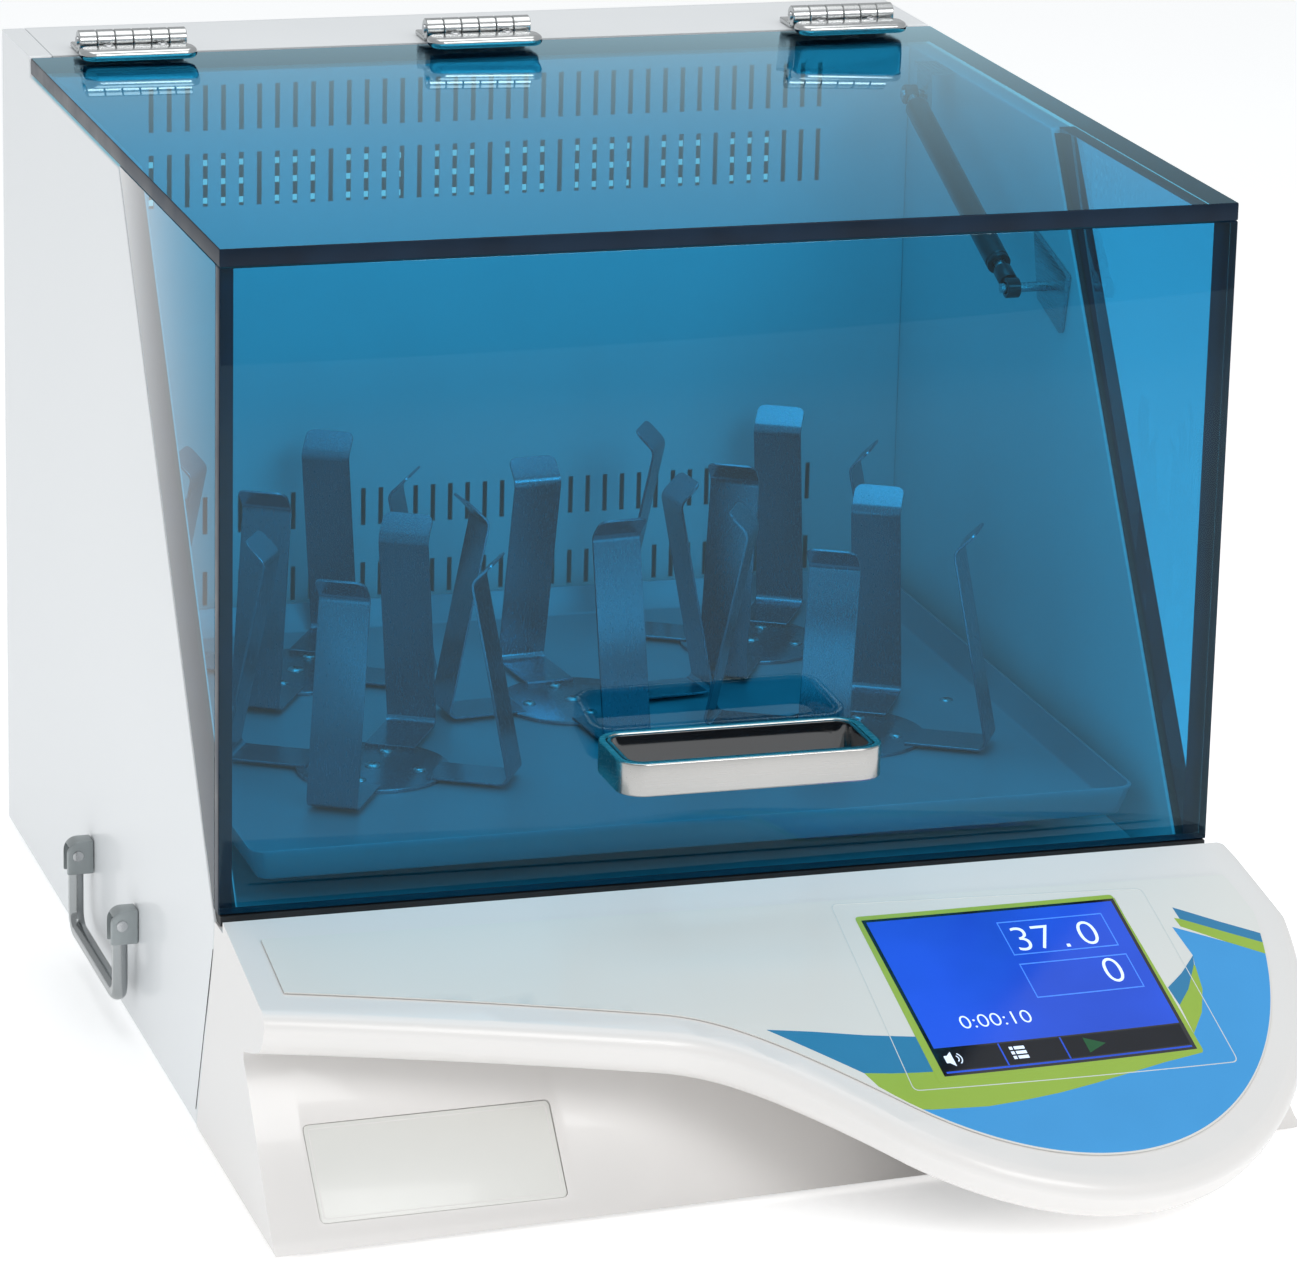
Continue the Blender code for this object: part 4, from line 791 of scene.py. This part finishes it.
def label():
    width, height, thickness = LABEL_SIZE
    plate = prism("label_plate_blank", rounded_rectangle(width / 2, height / 2, 0.003), thickness,
                  FILM, label_place(LABEL_RECESS + thickness / 2))
    bevelled(plate, 0.0003, 2)
    placed(plate, "cabinet", "overlay_film", "label_plate")
    half = (width / 2 - 0.0022, height / 2 - 0.0022)
    border = prism("label_border", rounded_rectangle(*half, 0.0016), 0.00006, FASCIA,
                   label_place(LABEL_RECESS - 0.00004),
                   holes=[rounded_rectangle(half[0] - 0.0006, half[1] - 0.0006, 0.0012)])
    placed(border, "cabinet", "fascia_plastic")


def overlay():
    rear, left = CONSOLE_TOP[0] - 0.018, -HALF_WIDTH + 0.016
    edge = console_outline(OVERLAY_INSET, rear, left)
    film = patch("console_film", edge, 0.0005, FILM_TOP, FILM, DISPLAY_HOLE)
    placed(film, "cabinet", "overlay_film", "panel_overlay")

    print_radius = LOBE_R - OVERLAY_INSET - 0.0006

    def inside(point):
        """The point, brought in to the lobe's printed edge if it lies past it."""
        reach = Vector(point) - Vector(LOBE_CENTRE)
        if reach.length > print_radius:
            return tuple(Vector(LOBE_CENTRE) + reach * print_radius / reach.length)
        return point

    foot = [(0.0735, -0.1566), (0.0600, -0.1577), (0.0450, -0.1585), (0.0298, -0.1585)]
    sweep = [(0.2297, -0.1429), (0.206, -0.149), (0.1827, -0.1561), (0.1596, -0.1633),
             (0.1368, -0.17), (0.1145, -0.1755), (0.0927, -0.1802)]
    tail = [(0.2443, -0.1032), (0.2385, -0.1177), (0.2289, -0.131)]
    tail_split = [(0.2272, -0.113), (0.236, -0.103)]
    band_split = [(0.2474, -0.0584), (0.2717, -0.0682), inside((0.2944, -0.0759))]
    deep_swoosh = [(-0.0149, -0.1265), (0.0095, -0.1281), (0.0387, -0.131), (0.066, -0.1322),
                   (0.0712, -0.1322), *foot, (0.0184, -0.1504), (0.0038, -0.14)]
    green_swoosh = [*foot[::-1], (0.2290, -0.1400), *sweep, (0.0594, -0.1836),
                    *arc(LOBE_CENTRE, print_radius, -123.5, -133, 4)]
    light = [*sweep[::-1], *tail[::-1], (0.2455, -0.0874), (0.2466, -0.0818), (0.2411, -0.0633),
             (0.2713, -0.0749), *arc(LOBE_CENTRE, print_radius, -7.6, -123.5, 64)]
    deep_band = [(0.2457, -0.0509), (0.2701, -0.0614), inside((0.2956, -0.07)), *band_split[::-1]]
    green_band = [(0.2443, -0.0577), *band_split, inside((0.2926, -0.0829)), (0.2713, -0.0749),
                  (0.2461, -0.0631)]
    deep_tail = [(0.2245, -0.1016), (0.2357, -0.0928), (0.2466, -0.0818), (0.2451, -0.0874),
                 *tail_split[::-1]]
    green_tail = [(0.2451, -0.0874), (0.2455, -0.0890), *tail, *tail_split]
    low, high = LIFT["print"]
    for name, outline, finish in (
        ("print_light_blue", light, LIGHT_BLUE), ("print_deep_swoosh", deep_swoosh, DEEP_BLUE),
        ("print_green_swoosh", green_swoosh, GREEN), ("print_deep_band", deep_band, DEEP_BLUE),
        ("print_green_band", green_band, GREEN), ("print_deep_tail", deep_tail, DEEP_BLUE),
        ("print_green_tail", green_tail, GREEN),
    ):
        lift = 0.00003 if finish is GREEN else 0.0
        placed(patch(name, outline, low, high + lift, finish), "cabinet", "overlay_film")
    border = [(0.0608, -0.0453), (0.2134, -0.0404), (0.2306, -0.1428), (0.0698, -0.1648)]
    frame_ring = patch("print_green_frame", softened(border, 0.0025), low, high + 0.00010, GREEN,
                       screen_box(-0.004, -0.005, 1.004, 1.005))
    placed(frame_ring, "cabinet", "overlay_film")
    window = [(0.05, -0.0345), (0.2322, -0.0373), (0.2487, -0.1488), (0.0536, -0.1709)]
    inner_window = [(0.0506, -0.0350), (0.2318, -0.0378), (0.2481, -0.1484), (0.0541, -0.1703)]
    seam = patch("window_film_edge", softened(window, 0.004), low, high + 0.00007, FILM_EDGE,
                 softened(inner_window, 0.0037))
    placed(seam, "cabinet", "overlay_film")


def glyphs(name, text, box):
    """Numerals fitted to a box of the display and laid on it."""
    curve = bpy.data.curves.new(name, "FONT")
    curve.body = text
    curve.resolution_u = 6
    curve.offset = -0.014
    bm = bmesh_of(name, curve, 0.0001)
    s0, t0, s1, t1 = box
    xs = [v.co.x for v in bm.verts]
    ys = [v.co.y for v in bm.verts]
    low, high = LIFT["marks"]
    for vert in bm.verts:
        u = (vert.co.x - min(xs)) / (max(xs) - min(xs))
        v = (vert.co.y - min(ys)) / (max(ys) - min(ys))
        x, distance = on_screen(s0 + u * (s1 - s0), t1 - v * (t1 - t0))
        vert.co = (x, distance, low)
    made = bmesh.ops.extrude_face_region(bm, geom=list(bm.faces))
    raised = [g for g in made["geom"] if isinstance(g, bmesh.types.BMVert)]
    bmesh.ops.translate(bm, verts=raised, vec=(0, 0, high - low))
    return on_console(name, bm, SCREEN_WHITE)


def display():
    glass = patch("display_glass", screen_box(-0.004, -0.005, 1.004, 1.005), *LIFT["glass"],
                  BLACK_GLOSS)
    placed(glass, "cabinet", "screen_glass", "display_module")
    low, high = LIFT["picture"]
    pictures = [
        ("display_picture", (0.010, 0.012, 0.990, 0.832), SCREEN_BLUE),
        ("display_bar_alarm", (0.012, 0.842, 0.255, 0.972), SCREEN_BAR),
        ("display_bar_list", (0.264, 0.842, 0.500, 0.972), SCREEN_BAR),
        ("display_bar_run", (0.510, 0.842, 0.988, 0.972), SCREEN_BAR),
        ("display_bar_line", (0.010, 0.980, 0.990, 0.990), SCREEN_BLUE),
    ]
    for name, (s0, t0, s1, t1), finish in pictures:
        placed(patch(name, screen_box(s0, t0, s1, t1), low, high, finish), "cabinet", "screen_glass")
    for i, s in enumerate((0.2565, 0.5020)):
        placed(patch(f"display_divider_{i + 1}", screen_box(s, 0.840, s + 0.006, 0.976), low, high,
                     SCREEN_BLUE), "cabinet", "screen_glass")
    low, high = LIFT["marks"]

    def mark(name, outline):
        return patch(name, outline, low, high, SCREEN_WHITE)

    for i, (s0, t0, s1, t1) in enumerate(((0.503, 0.085, 0.925, 0.305), (0.503, 0.362, 0.935, 0.585))):
        ring = patch(f"display_field_{i + 1}", screen_box(s0, t0, s1, t1), low, high, SCREEN_LINE,
                     screen_box(s0 + 0.004, t0 + 0.006, s1 - 0.004, t1 - 0.006))
        placed(ring, "cabinet", "screen_glass")
    horn = [(0.030, 0.885), (0.043, 0.885), (0.062, 0.862), (0.062, 0.952), (0.043, 0.929),
            (0.030, 0.929)]
    marks = [
        glyphs("mark_a", "37", (0.538, 0.128, 0.690, 0.280)),
        mark("mark_b", screen_box(0.726, 0.264, 0.740, 0.282)),
        glyphs("mark_c", "0", (0.795, 0.128, 0.868, 0.280)),
        glyphs("mark_d", "0", (0.815, 0.380, 0.885, 0.536)),
        glyphs("mark_e", "0:00:10", (0.160, 0.652, 0.440, 0.730)),
        mark("mark_f", softened([on_screen(*point) for point in horn], 0.0004)),
    ]
    for k, radius in enumerate((0.014, 0.026)):
        outer = arc((0.068, 0), radius + 0.0035, -55, 55, 9)
        inner = arc((0.068, 0), radius - 0.0005, 55, -55, 9)
        wave = [on_screen(s, 0.907 + v * 1.35) for s, v in outer + inner]
        marks.append(mark(f"mark_wave_{k}", wave))
    for row in range(3):
        t = 0.868 + row * 0.029
        marks.append(mark(f"mark_dot_{row}", screen_box(0.292, t, 0.305, t + 0.018)))
        marks.append(mark(f"mark_row_{row}", screen_box(0.311, t, 0.352, t + 0.018)))
    placed(joined("display_marks", marks), "cabinet", "screen_glass")
    play = [on_screen(*p) for p in ((0.590, 0.858), (0.668, 0.906), (0.590, 0.954))]
    placed(patch("display_play_mark", play, low, high, SCREEN_PLAY), "cabinet", "screen_glass")


# ---- Lid ----
def slope_aft(z):
    share = (z - SLOPE_LOW[1]) / (SLOPE_HIGH[1] - SLOPE_LOW[1])
    return SLOPE_LOW[0] + share * (SLOPE_HIGH[0] - SLOPE_LOW[0])


def edge_painted(made, axis):
    """Gives every face of a pane except its two broad ones the dark polished-edge finish."""
    made.data.materials.append(ACRYLIC_EDGE)
    for face in made.data.polygons:
        face.material_index = 0 if abs(face.normal[axis]) > 0.9 else 1
    return made


def lid():
    top = cuboid("lid_pane_top", (-HALF_WIDTH, 0, TOP_Z - PANE), (HALF_WIDTH, PANE_REAR, TOP_Z),
                 ACRYLIC, 0.0008)
    front = cuboid("lid_pane_front", (-HALF_WIDTH, 0, LID_BOTTOM_Z),
                   (HALF_WIDTH, PANE, TOP_Z - PANE - GAP), ACRYLIC, 0.0008)
    placed(edge_painted(top, 2), "lid", "blue_acrylic", "lid_top_pane")
    placed(edge_painted(front, 1), "lid", "blue_acrylic", "lid_front_pane")
    low_z, high_z = LID_BOTTOM_Z, TOP_Z - PANE - GAP
    clearance = 0.0032
    outline = [
        (PANE + GAP, low_z), (slope_aft(low_z) - clearance, low_z),
        (slope_aft(high_z) - clearance, high_z), (PANE + GAP, high_z),
    ]
    for side, x_low in (("left", -HALF_WIDTH), ("right", HALF_WIDTH - PANE)):
        pane = side_plate(f"lid_pane_{side}", outline, x_low, x_low + PANE, ACRYLIC_SIDE)
        pane = edge_painted(settled(bevelled(pane, 0.0006, 2)), 0)
        placed(pane, "lid", "blue_acrylic", f"lid_{side}_pane")


def lid_handle():
    half_reach = (HANDLE_REACH - GAP) / 2
    height = HANDLE_Z[1] - HANDLE_Z[0]

    def ring(inset):
        return rounded_rectangle(HANDLE_HALF - inset, half_reach - inset, HANDLE_CORNER - inset, 12)

    place = at(HANDLE_X, -GAP - half_reach, sum(HANDLE_Z) / 2)
    band = prism("handle_band", ring(0.0), height, STEEL, place, [ring(HANDLE_T)])
    placed(bevelled(band, 0.0011, 3), "lid", "brushed_steel", "lid_handle_band")
    inset = HANDLE_T + GAP
    liner = prism("handle_liner", ring(inset), height - 0.002, BLACK_GLOSS,
                  place @ Matrix.Translation((0, 0, 0.0005)), [ring(inset + LINER_T)])
    placed(bevelled(liner, 0.0007, 3), "lid", "black_plastic", "lid_handle_liner")


def cross_screw(centre, radius, height, turn=0.0):
    """A round head with a cross recess, standing on +Z."""
    profile = [(0.0, height), (radius * 0.55, height * 0.95), (radius * 0.88, height * 0.6),
               (radius, height * 0.15), (radius, 0.0), (0.0, 0.0)]
    head = turned("screw", profile, centre, SCREW, 32)
    slot = Matrix.Diagonal((radius * 1.15, radius * 0.26, height * 0.9, 1.0))
    x, y, z = centre
    for angle in (turn, turn + math.pi / 2):
        bm = bmesh.new()
        place = at(x, y, z + height) @ Matrix.Rotation(angle, 4, "Z") @ slot
        bmesh.ops.create_cube(bm, size=1.0, matrix=place)
        boolean(head, [from_bmesh("recess", bm, None)], "DIFFERENCE")
    return painted(head, SCREW)


def hinge(number, x):
    """Fixed leaf and pin behind, and the moving leaf's rounded bar and screws in front."""
    length = 6 * KNUCKLE
    chamfer = 0.0005
    base = TOP_Z + GAP
    y, z = HINGE_AFT, HINGE_Z
    fixed = [cuboid("f", (x - length / 2, y + 0.0045, base), (x + length / 2, y + 0.022, base + 0.003),
                    STEEL_HINGE, 0.0008),
             rod("pin", (x - length / 2 - 0.001, y, z), (x + length / 2, y, z), PIN_R, SCREW, 32,
                 0.0004)]
    moving = [cuboid("m", (x - length / 2, y - 0.0240, base), (x + length / 2, y - 0.0100, base + 0.003),
                     STEEL_HINGE, 0.0008)]
    bar = cuboid("bar", (x - 0.0355, y - 0.0295, base), (x + 0.0355, y - 0.0085, base + 0.0065),
                 STEEL_HINGE)
    bm = bmesh.new()
    bm.from_mesh(bar.data)
    upright = [e for e in bm.edges if abs((e.verts[0].co - e.verts[1].co).z) > 0.001]
    bmesh.ops.bevel(bm, geom=upright, offset=0.0085, segments=10, profile=0.5, affect="EDGES")
    bm.to_mesh(bar.data)
    bm.free()
    moving.append(bevelled(bar, 0.0030, 6, 40))
    for i in range(6):
        low, high = (x + (i - 3) * KNUCKLE + edge for edge in (GAP / 2, KNUCKLE - GAP / 2))
        leaf = fixed if i % 2 == 0 else moving
        near, far = (0.0010, 0.0080) if leaf is fixed else (-0.0125, -0.0010)
        width, bore = high - low, PIN_R + GAP
        profile = [(BARREL_R - chamfer, 0.0), (BARREL_R, chamfer), (BARREL_R, width - chamfer),
                   (BARREL_R - chamfer, width), (bore, width), (bore, 0.0)]
        leaf.append(turned("knuckle", profile, (low, y, z), STEEL_HINGE, 48, (1, 0, 0)))
        leaf.append(cuboid("web", (low, y + near, base), (high, y + far, base + 0.0034), STEEL_HINGE,
                           0.0004, 2))
    for k in (-1, 1):
        fixed.append(cross_screw((x + k * 0.020, y + 0.0140, base + 0.0029), 0.0036, 0.0012,
                                   0.4 + k))
        moving.append(cross_screw((x + k * 0.0165, y - 0.0115, base + 0.0060), 0.0036, 0.0014,
                                    0.9 * k))
    name = f"hinge_{number}"
    placed(joined(f"{name}_leaf_rear", fixed), "cabinet", "brushed_steel", f"{name}_fixed_leaf")
    placed(joined(f"{name}_leaf_front", moving), "lid", "brushed_steel", f"{name}_moving_leaf")


# ---- Gas strut ----
def strut():
    wall_end = Vector((STRUT_X, *STRUT_WALL_END))
    lid_end = Vector((STRUT_X, *STRUT_LID_END))
    line = (lid_end - wall_end).normalized()
    across = Vector((1, 0, 0))
    start = 0.024
    length = (lid_end - wall_end).length - start - 0.012
    r = STRUT_TUBE_R
    profile = [(0.0, length), (r - 0.0026, length), (r - 0.0008, length - 0.0008),
               (r, length - 0.0028), (r, 0.0040), (r - 0.0006, 0.0034), (r - 0.0006, 0.0026),
               (r, 0.0020), (r, 0.0006), (r - 0.0006, 0.0), (STRUT_ROD_R + GAP, 0.0),
               (STRUT_ROD_R + GAP, length - 0.008), (0.0, length - 0.008)]
    upper = [
        turned("tube", profile, wall_end + line * start, DARK_STEEL, 48, line),
        rod("eye", lid_end - across * 0.004, lid_end + across * 0.004, 0.0060, DARK_STEEL, 40, 0.0006),
        rod("pin", lid_end - across * 0.0055, lid_end + across * 0.0073, 0.0030, SCREW, 32, 0.0004),
        rod("neck", lid_end - line * 0.020, lid_end - line * 0.001, 0.0034, MACHINED, 32),
    ]
    placed(joined("strut_tube_detailed", upper), "strut_tube", "dark_steel", "gas_strut_tube")
    eye = turned("eye", [(0.0056, -0.004), (0.0060, -0.0036), (0.0060, 0.0036), (0.0056, 0.004),
                         (0.0038, 0.004), (0.0038, -0.004)], wall_end, DARK_STEEL, 40, across)
    lower = [
        rod("rod", wall_end + line * 0.0055, wall_end + line * (start + length - 0.020), STRUT_ROD_R,
            MACHINED, 40),
        eye,
        rod("collar", wall_end + line * 0.0055, wall_end + line * 0.018, 0.0056, DARK_STEEL, 36, 0.0006),
    ]
    placed(joined("strut_rod_detailed", lower), "strut_rod", "machined_steel", "gas_strut_rod")


# ---- Platform ----
TRAY_CENTRE = (0.0, DRIVE_AFT + ORBIT_R)


def tray():
    """Pressed tray with a softly radiused lip that leans out, and its fixing screws."""
    lean, sheet = 0.0055, TRAY_SHEET
    half_x, half_y = TRAY_HALF
    levels = [(half_x - lean - 0.0030, half_y - lean - 0.0030, 0.0060, 0.0),
              (half_x - lean - 0.0012, half_y - lean - 0.0012, 0.0066, 0.0003),
              (half_x - lean - 0.0002, half_y - lean - 0.0002, 0.0070, 0.0014),
              (half_x - 0.0004, half_y - 0.0004, 0.0090, TRAY_LIP - 0.0006),
              (half_x - 0.0006, half_y - 0.0006, 0.0090, TRAY_LIP)]
    outside = [[(u, v, z) for u, v in rounded_rectangle(a, b, r, 10)] for a, b, r, z in levels]
    inside = []
    for a, b, r, z in levels:
        wall = sheet * (0.75 if z == TRAY_LIP else 1)
        rise = sheet if z < 0.01 else 0
        inside.append([(u, v, z + rise) for u, v in rounded_rectangle(a - wall, b - wall, r, 10)])
    bm = ringed(outside + inside[::-1])
    bm.transform(at(*TRAY_CENTRE, TRAY_Z))
    made = [from_bmesh("tray", bm, TRAY_FINISH, 40)]
    x, y = TRAY_CENTRE
    for sx in (-1, 1):
        for sy in (-1, 0, 1):
            place = (x + sx * 0.225, y + sy * 0.190, TRAY_Z + sheet - 0.0002)
            made.append(cross_screw(place, 0.0042, 0.0014, sx + sy))
    placed(joined("tray_pressed", made), "platform", "platform_aluminium", "platform_tray")


def ribbon(path, thickness):
    """Closed outline of a strip whose left side is the path."""
    far = []
    for i, (u, v) in enumerate(path):
        before, after = Vector(path[max(i - 1, 0)]), Vector(path[min(i + 1, len(path) - 1)])
        here = Vector((u, v))
        first = (here - before).normalized() if i else (after - here).normalized()
        second = (after - here).normalized() if i < len(path) - 1 else first
        normal = Vector((first.y + second.y, -first.x - second.x)).normalized()
        stretch = 1 / max(0.5, normal.dot(Vector((first.y, -first.x))))
        far.append(tuple(here + normal * thickness * stretch))
    return list(path) + far[::-1]


def filleted(path, radius):
    """An open path with each inner corner rounded."""
    made = [path[0]]
    for i in range(1, len(path) - 1):
        made += corner(path[i - 1], path[i], path[i + 1], radius, 6)
    return [*made, path[-1]]


def clamp(name, centre, heading):
    x, y = TRAY_CENTRE[0] + centre[0], TRAY_CENTRE[1] + centre[1]
    floor = TRAY_Z + TRAY_SHEET + GAP
    pieces = [turned("disc", [(0.0, 0.0022), (0.0440, 0.0022), (0.0447, 0.0019), (0.0450, 0.0012),
                              (0.0450, 0.0), (0.0, 0.0)], (x, y, floor), SPRING_STEEL, 64)]
    low = floor + 0.0019
    tip = (CLAMP_ARM_TOP_R + CLAMP_TIP[0], low + CLAMP_ARM_H + CLAMP_TIP[1])
    top = (CLAMP_ARM_TOP_R, low + CLAMP_ARM_H)
    bend = arc((CLAMP_R - 0.006, low + 0.006), 0.006, -10, -90, 10)
    path = filleted([tip, top, bend[0]], 0.0035)[:-1] + bend + [(0.036, low)]
    for i in range(4):
        angle = math.radians(heading + 90 * i - 90)
        place = at(x, y, 0) @ Matrix.Rotation(angle, 4, "Z") @ FRONT_AXES
        arm = settled(prism("arm", ribbon(path, 0.0015), CLAMP_ARM_W, SPRING_STEEL, place))
        bm = bmesh.new()
        bm.from_mesh(arm.data)
        height = max(v.co.z for v in bm.verts)
        corners = []
        for edge in bm.edges:
            ends = edge.verts
            high = all(v.co.z > height - 0.0022 for v in ends)
            if high and edge.calc_length() < 0.0025 and edge.calc_face_angle(0) > 1.2:
                tangent = Matrix.Rotation(angle, 3, "Z") @ Vector((0, 1, 0))
                if abs((ends[0].co - ends[1].co).normalized().dot(tangent)) < 0.5:
                    corners.append(edge)
        if corners:
            bmesh.ops.bevel(bm, geom=corners, offset=0.005, segments=5, profile=0.5, affect="EDGES")
        bm.to_mesh(arm.data)
        bm.free()
        pieces.append(bevelled(arm, 0.00025, 1, 60))
        around = Vector((math.cos(angle), math.sin(angle)))
        spot = (x + around.x * 0.028, y + around.y * 0.028, floor + 0.0021)
        pieces.append(cross_screw(spot, 0.0040, 0.0016, angle))
    pieces.append(cross_screw((x, y, floor + 0.0021), 0.0050, 0.0018, 0.3))
    placed(joined(f"{name}_sprung", pieces), "platform", "brushed_steel", name)


# ---- Carrying handles ----
def ear(name, sign, distance, node):
    """Cast ear with a rounded crown, open to the outside and below, and its pivot screw."""
    width, depth, height = EAR_SIZE
    face = sign * (HALF_WIDTH + GAP)
    outer = face + sign * width
    wall, cheek = 0.0022, 0.0014
    crown = 0.0080
    outline = [(face, EAR_Z), (face, EAR_Z + height)]
    outline += [(outer - sign * crown + sign * crown * math.sin(a),
                 EAR_Z + height - crown + crown * math.cos(a))
                for a in (math.radians(90 * i / 10) for i in range(11))]
    outline.append((outer, EAR_Z))
    place = at(0, distance + depth / 2, 0) @ FRONT_AXES
    body = settled(bevelled(prism(name, outline, depth, CAST_GREY, place), 0.0010, 3))
    cutters = []
    for end, top in ((outer + sign * 0.01, EAR_Z + height - wall - 0.0014),
                     (face + sign * 0.0125, EAR_Z + height - wall)):
        near, far = sorted((face + sign * wall, end))
        cutters.append(cuboid("slot", (near, distance + cheek, EAR_Z - 0.01),
                              (far, distance + depth - cheek, top), None))
    painted(boolean(body, cutters, "DIFFERENCE"), CAST_GREY)
    pivot_x = sign * (HALF_WIDTH + BAIL_OUT)
    pins = []
    for start in (distance - 0.0006, distance + depth - 0.0012):
        ends = [(pivot_x, start + step, BAIL_PIVOT_Z) for step in (0.0, 0.0018)]
        pins.append(rod("pin", *ends, 0.0034, SCREW, 28, 0.0004))
    placed(joined(f"{name}_cast", [body, *pins]), "cabinet", "cast_grey", node)


def bail(side, sign):
    """Bar with a flat on each broad side and smooth corners, hanging in its ears."""
    flats = (-0.0038, 0.0044)
    x = sign * (HALF_WIDTH + BAIL_OUT)
    half_depth = EAR_SIZE[1] / 2
    front, rear = EAR_AFT[0] + half_depth, EAR_AFT[1] + half_depth
    bend = 0.0110
    path = [(front, BAIL_PIVOT_Z + 0.003), (front, 0.055)]
    path += arc((front + bend, BAIL_GRIP_Z + bend), bend, 180, 270, 14)
    path += [(front + 0.03 + i * 0.0108, BAIL_GRIP_Z) for i in range(7)]
    path += arc((rear - bend, BAIL_GRIP_Z + bend), bend, 270, 360, 14)
    path += [(rear, 0.055), (rear, BAIL_PIVOT_Z + 0.003)]
    rings = []
    sides = 28
    for i, (d, z) in enumerate(path):
        before, after = Vector(path[max(i - 1, 0)]), Vector(path[min(i + 1, len(path) - 1)])
        run = (after - before).normalized()
        normal = Vector((-run.y, run.x))
        ring = []
        for k in range(sides):
            a = 2 * math.pi * k / sides
            wide = BAIL_R * math.sin(a)
            out = max(flats[0], min(flats[1], 1.06 * BAIL_R * math.cos(a)))
            ring.append((x + sign * out, d + normal.x * wide, z + normal.y * wide))
        rings.append(ring)
    bm = ringed(rings)
    bm.transform(TO_FRAME)
    bar = from_bmesh("bar", bm, BAIL_STEEL, 50)
    placed(bar, f"{side}_bail", "cast_grey", f"{side}_handle_bail")
    bar.name = f"{side}_bail_bar"


def carrying_handles():
    for side, sign in (("left", -1), ("right", 1)):
        for end, distance in (("front", EAR_AFT[0]), ("rear", EAR_AFT[1])):
            ear(f"{side}_ear_{end}", sign, distance, f"{side}_handle_bracket_{end}")
        bail(side, sign)


# ---- Rear fixings ----
def rear_screws():
    """Pan-head screws round the rear cover's edge."""
    heads = []
    rear = CABINET_DEPTH - 0.0001
    places = [(sx * 0.255, z) for sx in (-1, 1) for z in (0.030, 0.18, 0.34, 0.495)]
    places += [(x, z) for x in (-0.09, 0.09) for z in (0.022, 0.500)]
    for i, (x, z) in enumerate(places):
        head = cross_screw((0, 0, 0), 0.0042, 0.0016, 0.5 * i)
        turn = Matrix.Rotation(math.radians(-90), 4, "X")
        head.data.transform(at(x, rear, z) @ turn @ TO_FRAME.inverted())
        heads.append(head)
    placed(joined("rear_cover_screws", heads), "cabinet", "machined_steel")


fascia()
# Painted shadow strips along the side seams.
painted_seam_shadow()
label()
overlay()
display()
lid()
lid_handle()
for number, hinge_x in enumerate(HINGE_X, start=1):
    hinge(number, hinge_x)
strut()
tray()
for clamp_name, (clamp_centre, clamp_heading) in CLAMPS.items():
    clamp(clamp_name, clamp_centre, clamp_heading)
carrying_handles()
rear_screws()


# ---- Floor, light and camera ----
FLOOR_HALF = 7.0


def floor():
    bm = bmesh.new()
    bmesh.ops.create_grid(bm, x_segments=1, y_segments=1, size=FLOOR_HALF)
    paper = surface("pale_floor", (0.93, 0.93, 0.93), 0.75, 0.004, patch=2.0, grain=300.0,
                    relief=0.00005, glow=0.42)
    from_bmesh("floor", bm, paper)


def soft_light(name, place, target, size, power):
    lamp = bpy.data.lights.new(name, "AREA")
    lamp.shape = "RECTANGLE"
    lamp.size, lamp.size_y = size
    lamp.energy = power
    made = linked(name, lamp)
    made.location = place
    made.rotation_euler = (Vector(target) - Vector(place)).to_track_quat("-Z", "Y").to_euler()
    return made


def studio():
    """White backdrop for the camera; a softer grey one lights and is mirrored."""
    world = bpy.data.worlds.new("studio")
    bpy.context.scene.world = world
    world.use_nodes = True
    tree = world.node_tree
    tree.nodes.clear()
    output = tree.nodes.new("ShaderNodeOutputWorld")
    path = tree.nodes.new("ShaderNodeLightPath")
    mix = tree.nodes.new("ShaderNodeMixShader")
    tree.links.new(path.outputs["Is Camera Ray"], mix.inputs["Fac"])
    ambient, backdrop = ((0.95, 0.98, 1.0, 1), 0.57), ((1, 1, 1, 1), 1.05)
    for slot, (colour, strength) in enumerate((ambient, backdrop), start=1):
        node = tree.nodes.new("ShaderNodeBackground")
        node.inputs["Color"].default_value = colour
        node.inputs["Strength"].default_value = strength
        tree.links.new(node.outputs["Background"], mix.inputs[slot])
    tree.links.new(mix.outputs["Shader"], output.inputs["Surface"])
    key = soft_light("key", (-2.4, -1.6, 1.9), (0, 0, 0.25), (1.6, 1.6), 5)
    key.visible_glossy = False
    soft_light("front", (0.9, -3.0, 2.2), (0, 0, 0.25), (1.8, 1.2), 34)
    soft_light("top", (0.0, 0.2, 2.3), (0, 0.05, 0.2), (1.6, 1.6), 14)
    bpy.context.scene.view_settings.view_transform = "Standard"


CAMERA_PLACE = (-0.9589, -3.1160, 1.2190)
CAMERA_LENS = 164.2
CAMERA_ANGLES = (17.18, 16.86, 1.37)    # yaw, pitch down and roll, in degrees


def camera():
    yaw, pitch, roll = (math.radians(angle) for angle in CAMERA_ANGLES)
    level = math.cos(pitch)
    ahead = Vector((math.sin(yaw) * level, math.cos(yaw) * level, -math.sin(pitch)))
    right = Vector((math.cos(yaw), -math.sin(yaw), 0))
    up = right.cross(ahead)
    rolled_right = math.cos(roll) * right + math.sin(roll) * up
    rolled_up = -math.sin(roll) * right + math.cos(roll) * up
    lens = bpy.data.cameras.new("camera")
    lens.lens = CAMERA_LENS
    lens.sensor_width = 36.0
    lens.clip_start, lens.clip_end = 0.1, 50.0
    made = linked("camera", lens)
    turn = Matrix((rolled_right, rolled_up, -ahead)).transposed().to_4x4()
    made.matrix_world = Matrix.Translation(CAMERA_PLACE) @ turn
    bpy.context.scene.camera = made


floor()
studio()
camera()
